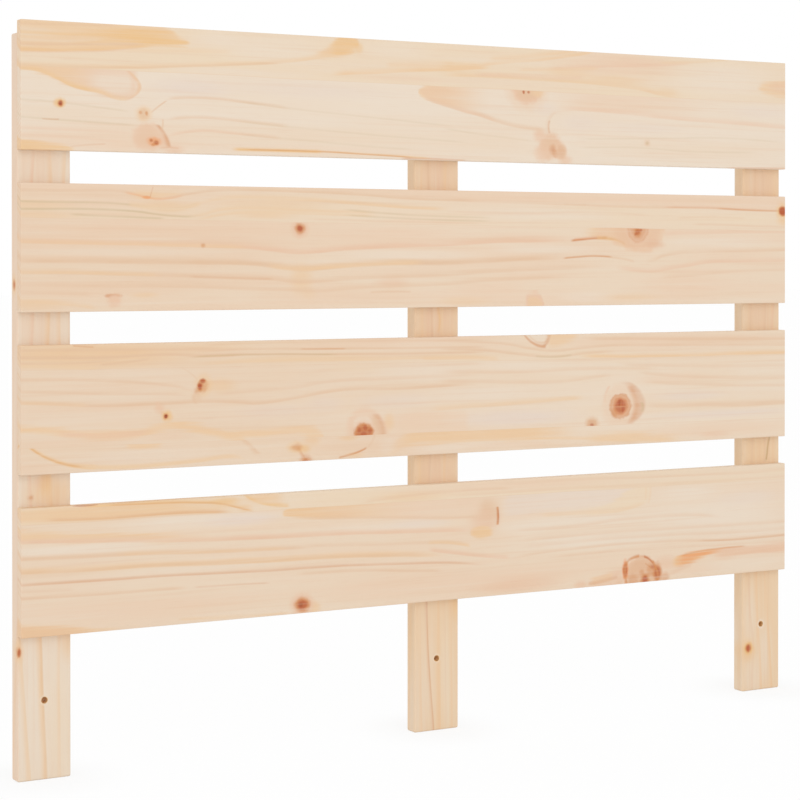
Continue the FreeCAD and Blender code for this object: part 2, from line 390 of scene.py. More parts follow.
# The lower strip of the second board
second_board_lower_shares = dict(
    base="cream", clouds=("blush", 0.6),
    patches=(
        ("blush", 1.0, 180, 36, 280, 10), ("blush", 0.9, 440, 39, 120, 10),
        ("pale", 0.6, 100, 53, 170, 4), ("pale", 0.6, 450, 55, 130, 5), ("honey", 0.7, 135, 87.6, 22, 3),
        ("honey", 0.6, 321, 76, 18, 17), ("gold", 0.7, 331, 88, 12, 6), ("rose", 0.8, 744, 43, 11, 5),
        ("rose", 0.55, 435, 79, 28, 7), ("pale", 0.6, 640, 50, 90, 6), ("pale", 0.6, 900, 43, 120, 6),
        ("blush", 0.9, 840, 84, 90, 16), ("honey", 0.5, 530, 95, 45, 5), ("honey", 0.4, 760, 93, 60, 5),
        ("blush", 0.7, 560, 86, 70, 12), ("honey", 0.6, 15, 94, 45, 6), ("blush", 0.5, 60, 84, 90, 10),
        ("blush", 0.6, 390, 91, 140, 13), ("pale", 0.5, 700, 92, 50, 6), ("rose", 0.4, 230, 44, 90, 5),
        # The broad tan patch at the left end is painted shade: it darkens the left part of the board and
        # fades out towards the middle.
        ("rose", 0.3, 600, 40, 100, 6), ("tan", 0.2, 0, 50, 450, 150),
    ),
    bands=(
        ("rose", 0.9, 3, (0.15, 0.05),
         ((612, 89.5, 108), (619, 88.4, 108), (632, 88.8, 108), (640, 98, 108))),
        ("honey", 0.6, 3, (0.15, 0.05), ((615, 92, 108), (623, 91, 108), (637, 96, 108))),
        ("honey", 0.7, 5, (0.35, 0.1), ((690, 31, 38), (728, 27, 41), (748, 27, 45), (762, 27, 50))),
        ("rose", 0.6, 5, (0.35, 0.1), ((700, 32, 38), (735, 30, 42), (752, 30, 46), (764, 30, 50))),
        ("rose", 0.9, 3, (0.2, 0.2), ((750, 43, 49), (770, 46, 51.5), (790, 46, 52), (802, 44, 49))),
    ),
    lines=(
        ("rose", 1.0, 9, 2,
         ((-40, 45.5), (50, 46.4), (100, 47.2), (150, 47.9), (200, 48.7), (250, 49.8), (285, 51.8),
          (314, 53.8), (340, 53.2), (365, 51.7), (400, 50.2), (450, 48.6), (500, 47), (560, 44.8),
          (620, 43.4), (690, 42))),
        ("honey", 0.7, 6, 2, ((-40, 45.5), (50, 46.4), (100, 47.2), (180, 48.3), (265, 50.3))),
        ("rust", 0.95, 3.4, 2.2, ((675, 42.6), (691, 41.4), (706, 40.5), (731, 39.9))),
        ("ember", 0.4, 2, 1.4, ((678, 42.3), (691, 41.4), (706, 40.5), (722, 40))),
        ("copper", 0.35, 4.5, 2.4, ((680, 41.6), (691, 40.9), (706, 40), (722, 39.6))),
        ("amber", 0.8, 5, 3, ((712, 40.2), (732, 40.5), (744, 42), (757, 46.6))),
        ("rust", 0.35, 3.6, 2, ((718, 40.2), (732, 40.5), (744, 42), (757, 46.6))),
        ("rose", 0.6, 8, 2, ((803, 37.5), (830, 36.2), (900, 35), (1040, 33.5))),
        ("tan", 0.9, 8, 3,
         ((-40, 60), (100, 61), (200, 62), (250, 63), (290, 65.3), (322, 67.6), (345, 66.7), (380, 64.3),
          (430, 62.6), (500, 62.6), (560, 60.8), (620, 58.8), (690, 57))),
        ("honey", 0.85, 7, 3, ((275, 64.4), (322, 67.6), (350, 66.4), (400, 63.8), (480, 62.4))),
        ("rust", 0.8, 2.4, 1.4, ((664, 57.9), (690, 56.7), (712, 56.3), (738, 57.4))),
        ("tan", 0.5, 3, 2, ((728, 57), (752, 59), (770, 61.4))),
        ("tan", 0.6, 6, 2.5,
         ((780, 61.3), (797, 59.8), (810, 56.4), (830, 53.8), (860, 52.4), (900, 51.7), (1040, 50))),
        ("tan", 0.6, 7, 2.5,
         ((-40, 69.4), (60, 70.1), (100, 70.8), (150, 71.6), (200, 72.8), (250, 74.4), (285, 75.3),
          (320, 78), (345, 77.4), (380, 75.7), (440, 74), (500, 72.8), (560, 70.4), (620, 68.4),
          (700, 66.4), (745, 66.8))),
        ("honey", 0.6, 6, 2, ((-40, 69.4), (60, 70.1), (100, 70.8), (160, 71.8))),
        ("rust", 0.18, 2.4, 1.6, ((185, 72.6), (230, 73.8), (290, 75.5))),
        ("rose", 0.75, 7, 2.5,
         ((735, 66.3), (770, 69.3), (800, 69.5), (820, 67.5), (850, 64.8), (872, 62.6), (930, 61),
          (1040, 60))),
        ("tan", 0.5, 6, 2.5,
         ((-40, 79), (100, 80), (180, 81), (250, 82.8), (300, 84.2), (340, 85.6), (380, 83.4), (440, 82),
          (500, 80.5), (560, 77.8), (620, 76), (690, 74))),
        ("tan", 0.4, 5, 2.5, ((800, 76), (850, 74), (930, 70), (1040, 69))),
        ("tan", 0.5, 2.5, 1.6, ((405, 87), (430, 86.5), (462, 86.8))),
        ("honey", 0.6, 6, 2, ((-40, 91), (40, 94), (85, 98))),
        ("tan", 0.35, 5, 2, ((-40, 85), (40, 86), (80, 87))),
    ),
    knots=(
        (319.5, 33.7, 0.95,
         (("rose", 0.85, 10.5, 4), ("rust", 0.75, 6.6, 2.4), ("ember", 0.85, 3.6, 1.8))),
        (203.5, 47.8, 0.9, (("rust", 0.55, 2.6, 1.8),)),
        (100.5, 88, 0.3, (("rust", 0.8, 4.6, 2), ("ember", 0.3, 2.4, 1.4))),
        (102, 91.4, 0.9, (("rose", 0.95, 7.4, 4),)),
        (774, 31.3, 0.68, (("honey", 0.5, 33, 6), ("rose", 0.6, 32, 7), ("rust", 0.1, 29, 8))),
        (797, 45, 0.4, (("rose", 0.7, 9, 6), ("rust", 0.15, 7, 6))),
        (774, 31.3, 1.1,
         (("rose", 0.85, 19, 3), ("rust", 0.42, 16.8, 2), ("rose", 0.5, 14.6, 1.5),
          ("rust", 0.36, 12.4, 2.5))),
        (773, 34.2, 1.1, (("rust", 0.85, 6, 2.4), ("ember", 0.5, 3.4, 1.8))),
        (778, 32.8, 0.8, (("ember", 0.55, 1.8, 1.2),)),
        (770, 36.6, 0.8, (("ember", 0.45, 1.8, 1.2),)),
    ),
)

# The upper strip of the third board
third_board_upper_shares = dict(
    until=(19.4, 23.2), base="cream", clouds=("straw", 0.5),
    patches=(
        ("honey", 1.0, 70, 8, 160, 16), ("honey", 0.4, 215, 4, 60, 6), ("blush", 0.8, 400, 4, 170, 7),
        ("rose", 0.45, 480, 1, 120, 4), ("blush", 0.9, 820, 8, 230, 10), ("gold", 0.7, 330, 15.5, 130, 4),
        # The broad tan patch at 100 is painted shade: it darkens the left part of the board and fades out
        # past the middle.
        ("tan", 0.3, 890, 7, 120, 5), ("straw", 0.5, 540, 17, 60, 5), ("tan", 0.25, 100, 50, 600, 150),
        ("blush", 0.5, 500, 8, 150, 14),
    ),
    bands=(
        ("honey", 0.75, 4, (0.2, 0.3), ((640, -4, 9), (655, -4, 10), (668, -4, 8), (692, -4, 2))),
        ("pale", 0.5, 3, (0.1, 0.1), ((616, -4, 1), (626, -4, 6.5), (636, -4, 7.5), (645, -4, 2))),
    ),
    lines=(
        ("tan", 0.8, 4, 2, ((-40, 9), (60, 10.5), (100, 11), (170, 10), (200, 11.5), (260, 11))),
        ("tan", 0.6, 4, 2, ((-40, 4), (60, 4.5), (150, 5.5), (230, 6))),
        ("tan", 0.8, 3, 1.8, ((84, 16.4), (105, 15.8), (122, 14.8), (144, 12.8))),
        ("gold", 0.9, 6, 2, ((-40, 16.6), (30, 17.2), (60, 18.4), (90, 20))),
        ("tan", 0.55, 4, 2, ((-40, 13), (60, 14.4), (110, 13))),
        ("rust", 0.45, 2, 1.4, ((55, 1), (66, 1.6), (80, 2.3))),
        ("tan", 0.8, 3, 1.6,
         ((175, 12.8), (225, 11.2), (280, 11.3), (340, 12.3), (400, 13), (470, 13.6), (570, 14.6))),
        ("olive", 0.4, 1.8, 1.4, ((185, 12.2), (225, 11.2), (280, 11.3), (370, 12.8))),
        ("tan", 0.75, 3, 1.6,
         ((190, 7.6), (225, 7), (280, 6.8), (330, 7.5), (380, 8.2), (450, 9), (570, 10.2))),
        ("rust", 0.4, 1.8, 1.2, ((318, 7.3), (345, 7.8), (378, 8.2))),
        ("tan", 0.5, 3, 1.6, ((190, 3), (300, 1.6), (400, 2), (560, 4))),
        ("gold", 0.9, 5, 2, ((185, 18.5), (240, 17), (300, 16.6), (400, 17.8), (500, 17.4), (580, 19.5))),
        ("honey", 0.7, 5, 2, ((470, 18), (530, 19.3), (580, 20.6))),
        ("tan", 0.6, 4, 2,
         ((490, 4), (560, 6), (590, 8), (620, 12), (655, 14.5), (690, 12.8), (730, 11), (800, 11.5),
          (900, 13), (1040, 14.5))),
        ("tan", 0.6, 4, 2,
         ((490, 10.2), (560, 13), (600, 16.2), (640, 19.2), (662, 19.6), (695, 17.4), (745, 16))),
        ("olive", 0.4, 2.5, 1.6, ((625, 18.4), (645, 19.6), (662, 19.6), (680, 18.4))),
        ("tan", 0.65, 5, 2, ((690, 4.5), (760, 5.5), (850, 6.8), (950, 8), (1040, 9))),
        ("honey", 1.0, 6, 2,
         ((680, 19.6), (730, 20.6), (800, 21.4), (850, 21.8), (910, 21.4), (1040, 21.6))),
        ("rust", 0.7, 4, 3, ((609, -3), (616, 3), (625, 7.7), (634, 10), (643, 10.4))),
        ("tan", 0.6, 3, 1.6, ((615, -3), (623, 3.5), (633, 6.8), (641, 6), (647, 1))),
    ),
    uprights=(("rust", 0.45, 6, 4, ((647, -4), (646, 2), (643, 7), (638, 11))),),
)

# The middle strip of the third board
third_board_middle_shares = dict(
    until=(79.4, 82.8), base="cream", clouds=("pale", 0.5),
    patches=(
        ("pale", 0.6, 80, 56, 110, 8), ("lilac", 0.6, 290, 58, 60, 8), ("lilac", 0.6, 350, 54, 30, 9),
        ("pale", 0.8, 560, 50, 90, 8), ("lilac", 1.0, 600, 72, 110, 9), ("honey", 0.7, 224, 35, 24, 8),
        ("lilac", 0.7, 850, 58, 70, 6), ("lilac", 0.8, 900, 76, 140, 5), ("lilac", 0.6, 440, 53, 60, 8),
        ("blush", 0.5, 830, 42, 80, 7), ("pale", 0.6, 620, 27, 90, 6), ("blush", 1.0, 470, 70, 50, 11),
        ("blush", 0.6, 90, 50, 130, 5), ("pale", 0.6, 470, 30, 70, 10), ("straw", 0.8, 390, 24, 50, 4),
        ("blush", 0.6, 160, 74, 40, 4), ("blush", 0.6, 60, 76, 90, 5), ("blush", 0.5, 300, 77, 40, 5),
        ("blush", 0.5, 100, 34, 100, 6), ("rose", 0.7, 153, 52, 8, 6), ("tan", 0.5, 196, 44, 8, 6),
        # The broad tan patch at 100 is painted shade: it darkens the left part of the board and fades out
        # past the middle.
        ("rose", 0.4, 95, 72, 50, 3), ("tan", 0.25, 100, 50, 600, 150), ("honey", 0.8, 431, 71, 10, 10),
    ),
    bands=(
        ("honey", 0.9, 3.5, (0.02, 0.02),
         ((-40, 61, 66), (0, 62, 67), (40, 65, 70), (60, 67.5, 73.5), (100, 68.5, 75), (130, 68, 74),
          (150, 65, 70.5), (170, 64, 69), (190, 66, 71.5), (210, 69, 75), (230, 72.5, 78.5),
          (245, 76, 83), (256, 80, 89))),
        ("rose", 0.7, 3.5, (0.2, 0.2),
         ((30, 66, 69), (60, 69, 73), (100, 70, 74.5), (130, 69, 73), (150, 66, 70))),
        ("honey", 0.75, 3.5, (0.2, 0.02),
         ((222, 73, 75.5), (260, 72, 78), (300, 71.5, 77), (325, 72, 79), (340, 74, 86), (350, 80, 90))),
        ("rose", 0.5, 4, (0.15, 0.1),
         ((373, 74, 90), (381, 65, 90), (394, 58.5, 90), (410, 59, 90), (424, 68, 90), (434, 82, 90))),
        ("tan", 0.5, 4, (0.3, 0.2), ((406, 62, 90), (414, 64, 90), (422, 70, 90), (430, 80, 90))),
        ("pale", 0.5, 4, (0.15, 0.1),
         ((383, 74, 90), (389, 67, 90), (398, 64.5, 90), (407, 68, 90), (413, 80, 90))),
        ("blush", 0.7, 4, (0.3, 0.1), ((420, 70, 90), (450, 66, 90), (540, 64, 90))),
    ),
    lines=(
        ("tan", 0.5, 4, 2, ((-40, 26.5), (50, 27.6), (100, 29.6), (150, 33), (175, 36), (196, 41))),
        ("tan", 0.5, 4, 2, ((-40, 35.5), (60, 38), (100, 39.6), (150, 41), (188, 42))),
        ("tan", 0.7, 5, 2,
         ((-40, 44), (0, 45), (30, 46), (60, 47.5), (80, 48.3), (150, 48.6), (200, 48), (240, 49.6),
          (268, 51), (285, 50.2), (315, 47.6), (350, 44), (385, 42.2), (440, 43), (560, 41))),
        ("honey", 0.5, 5, 2, ((-40, 44), (0, 45), (30, 46), (75, 48.2))),
        ("tan", 0.4, 5, 2.5, ((205, 43.5), (260, 41), (320, 38.4), (350, 35.4), (440, 34), (560, 34))),
        ("tan", 0.35, 5, 2.5, ((330, 26), (400, 24), (470, 24), (560, 24))),
        ("tan", 0.45, 5, 2.5, ((490, 38), (600, 41), (660, 42), (700, 39.5), (745, 37))),
        ("gold", 0.85, 7, 2.5, ((480, 62), (560, 60.5), (620, 58.8), (700, 57))),
        ("tan", 0.4, 5, 2.5, ((490, 30), (600, 32), (700, 31), (810, 33))),
        ("tan", 0.55, 8, 3, ((778, 66), (820, 67.5), (870, 67.5), (920, 69), (1040, 68))),
        ("tan", 0.4, 5, 2.5, ((765, 35), (830, 40), (900, 43), (1040, 45))),
        ("tan", 0.4, 5, 2.5, ((775, 44), (850, 48), (930, 51), (1040, 52))),
        ("tan", 0.35, 5, 2.5, ((735, 27), (830, 31), (930, 33), (1040, 33.5))),
    ),
    uprights=(
        ("rust", 0.4, 16, 7, ((753, 42), (768, 48), (777, 56), (781, 65), (777, 73), (766, 81))),
        ("olive", 0.5, 5, 3, ((779, 62), (781.5, 67), (780, 72))),
        ("rose", 0.6, 4, 3, ((733, 46), (727, 54), (726, 62))),
        ("tan", 0.6, 5, 3, ((411, 66), (416, 73), (418, 83))),
        ("rust", 0.3, 8, 6, ((413, 62), (420, 69), (423, 76), (424, 84))),
        ("rose", 0.6, 5, 3, ((150, 46), (154, 52), (158, 58))),
        ("tan", 0.5, 4, 3, ((199, 38), (193, 43), (196, 50))),
        ("tan", 0.4, 3, 2.5, ((178, 20), (190, 25), (197, 31))),
    ),
    knots=(
        (204, 34.4, 1.2, (("amber", 0.5, 10, 6), ("rust", 0.45, 5.5, 3))),
        (199.5, 35.8, 1.5, (("rust", 0.9, 4.6, 1.8), ("ember", 0.95, 3.2, 1.4), ("bark", 0.2, 2, 1))),
        (203, 31.2, 0.8, (("rust", 0.8, 3.4, 1.3), ("ember", 0.8, 2.4, 1.3))),
        (203.6, 38.4, 1.0, (("rust", 0.35, 3.6, 2.2),)),
        (196.6, 39, 1.0, (("rust", 0.4, 3.4, 2.2),)),
        (161.4, 58.2, 1.0, (("amber", 0.85, 6, 3),)),
        (160.3, 58.3, 1.1, (("rust", 0.9, 3.3, 1.4), ("ember", 0.95, 2.3, 1.0), ("bark", 0.7, 1.8, 0.9))),
        (399, 79.5, 0.9, (("rose", 0.6, 16.5, 3), ("rust", 0.95, 12.6, 2.2), ("ember", 0.4, 10, 3))),
        (393, 76, 1.2, (("ember", 0.55, 2.6, 1.4),)),
        (401, 74.4, 1.0, (("ember", 0.6, 2.8, 1.4),)),
        (407, 77.4, 1.3, (("ember", 0.5, 2.8, 1.4),)),
        (399, 79.6, 0.7, (("ember", 0.6, 3, 1.6),)),
        (707, 81, 0.9, (("tan", 0.8, 10, 3.5), ("rust", 0.4, 6.5, 2.5), ("ember", 0.6, 2.6, 1.4))),
        (748.4, 65.5, 1.0,
         (("blush", 0.7, 27, 5), ("rust", 0.75, 16, 2.2), ("rose", 0.75, 13.6, 2),
          ("rust", 0.6, 12.4, 2.4), ("copper", 0.3, 11, 3), ("ember", 0.65, 9, 3))),
        (747.6, 62.2, 1.2, (("ember", 0.7, 4.2, 2.2), ("bark", 0.2, 2.6, 1.6))),
        (751, 68, 1.1, (("ember", 0.45, 3.6, 1.8),)),
        (739.5, 71.6, 1.0, (("rust", 0.45, 5, 3),)),
    ),
    cracks=(("rust", 0.7, 1.2, 1.2, ((738, 66.3), (748, 65.8), (759, 66.2))),),
    splits=(
        ("rust", 0.65, 1.2, 1.2, ((749.4, 59), (748.8, 66), (749.4, 73))),
        ("rust", 0.5, 9, 9, ((761, 46), (768, 55), (772, 65), (769, 74), (761, 83))),
    ),
)

# The lower strip of the third board
third_board_lower_shares = dict(
    base="cream", clouds=("pale", 0.4),
    patches=(
        ("pale", 0.7, 140, 89, 100, 6), ("blush", 0.7, 900, 90, 140, 9), ("honey", 0.6, 755, 92, 45, 5),
        ("blush", 0.7, 420, 90, 130, 14), ("blush", 0.5, 600, 96, 120, 5), ("honey", 0.7, 334, 83, 14, 7),
        ("rose", 0.5, 890, 95, 30, 5), ("blush", 0.6, 15, 95, 40, 7), ("pale", 0.5, 500, 95, 50, 5),
        ("honey", 0.8, 380, 82, 16, 4), ("pale", 0.5, 430, 90, 15, 9), ("amber", 0.6, 325, 90, 10, 5),
        # The broad tan patch at 100 is painted shade: it darkens the left part of the board and fades out
        # past the middle.
        ("honey", 0.7, 387, 97, 15, 3), ("tan", 0.25, 100, 50, 600, 150),
    ),
    bands=(
        ("honey", 0.95, 3.5, (0.15, 0.3),
         ((425, 97, 102), (440, 87, 96), (458, 80, 91), (500, 78, 89.5), (560, 78, 90), (620, 79, 90.5),
          (700, 84, 92))),
        ("honey", 0.8, 3, (0.2, 0.2), ((110, 78, 81), (125, 77, 82.6), (145, 77, 82.2), (160, 78.5, 81))),
        ("honey", 0.6, 5, (0.2, 0.3), ((690, 88, 96), (740, 90, 97), (780, 91, 98), (850, 94, 100))),
    ),
    lines=(
        ("amber", 0.85, 5, 3,
         ((2, 75), (11, 79.8), (20, 84.4), (29, 88), (48, 93.4), (62, 95.6), (85, 97.2))),
        ("rust", 0.35, 2.5, 1.6, ((6, 77), (20, 84.4), (29, 88), (48, 93.4), (75, 96.6))),
        ("honey", 0.85, 5, 2.5,
         ((55, 95), (85, 97.2), (112, 98), (154, 97.4), (200, 95.4), (237, 93.6), (250, 95.4))),
        ("gold", 0.8, 4, 2,
         ((55, 95), (112, 98), (154, 97.4), (200, 95.4), (237, 93.6), (249, 95.2), (258, 99.6))),
        ("honey", 0.7, 5, 2.5, ((490, 89), (560, 90), (640, 91), (700, 93), (760, 96.5), (840, 97.5))),
        ("rust", 0.75, 2.6, 1.6, ((366, 98.8), (380, 97), (392, 94.8), (404, 91.4))),
        ("tan", 0.4, 4, 2.5, ((600, 97), (700, 98.5), (780, 99))),
    ),
    uprights=(
        ("tan", 0.7, 8, 5, ((248, 78), (257, 83.5), (263, 88), (270, 93))),
        ("rust", 0.5, 5, 3, ((316, 87), (321, 93), (329, 102))),
        ("tan", 0.4, 4, 2.5, ((413, 79), (411, 85), (404, 92))),
    ),
    knots=(
        (315.5, 88.4, 0.55, (("amber", 0.5, 8.5, 4), ("rust", 0.5, 5, 3))),
        (327, 99.4, 0.8, (("rust", 0.7, 6, 3.6), ("ember", 0.35, 2.4, 1.6))),
    ),
)

# The upper strip of the bottom board
bottom_board_upper_shares = dict(
    until=(12.8, 14.2), base="straw", clouds=("cream", 0.6),
    patches=(
        ("honey", 0.95, 100, 6, 190, 10), ("straw", 0.8, 350, 6, 60, 8), ("honey", 0.45, 460, 9, 60, 6),
        ("blush", 0.7, 620, 5, 200, 8), ("cream", 0.7, 850, 6, 200, 9), ("honey", 0.9, 272, 3, 24, 5),
        ("amber", 0.7, 230, 4, 22, 5), ("honey", 0.7, 253, 10, 11, 4),
    ),
    bands=(("honey", 0.7, 3, (0.2, 0.3), ((250, -5, 0), (262, -5, 5), (280, -3, 9), (305, 2, 11))),),
    lines=(
        ("amber", 0.9, 5, 1.6,
         ((60, 1), (100, 1.4), (150, 2.3), (200, 4), (225, 5.8), (242, 9), (266, 13.6))),
        ("rust", 0.4, 2.4, 1.4, ((90, 1.3), (150, 2.3), (200, 4), (225, 5.8), (242, 9), (266, 13.6))),
        ("honey", 1.0, 8, 2, ((-40, 9), (50, 10.4), (100, 11.3), (170, 11.2), (200, 11.8), (242, 12.6))),
        ("rust", 0.3, 4, 1.6, ((20, 10.2), (100, 11.4), (185, 11.4), (240, 12.6))),
        ("amber", 0.8, 5, 2, ((250, -1.5), (262, 4), (275, 7.6), (290, 9.7), (308, 11))),
        ("honey", 0.6, 4, 2, ((-40, 3.5), (60, 5), (140, 5.5))),
        ("ember", 0.6, 1.6, 1.2, ((54, -0.6), (66, 0.3), (86, -0.4))),
        ("tan", 0.4, 4, 2, ((390, 12.5), (440, 9.6), (520, 7), (600, 8))),
        ("tan", 0.35, 4, 2,
         ((490, 10), (560, 11), (650, 11), (750, 12), (800, 12.6), (860, 12.6), (1040, 12))),
        ("tan", 0.25, 4, 2, ((560, 4), (700, 4), (850, 6), (1040, 6))),
    ),
)

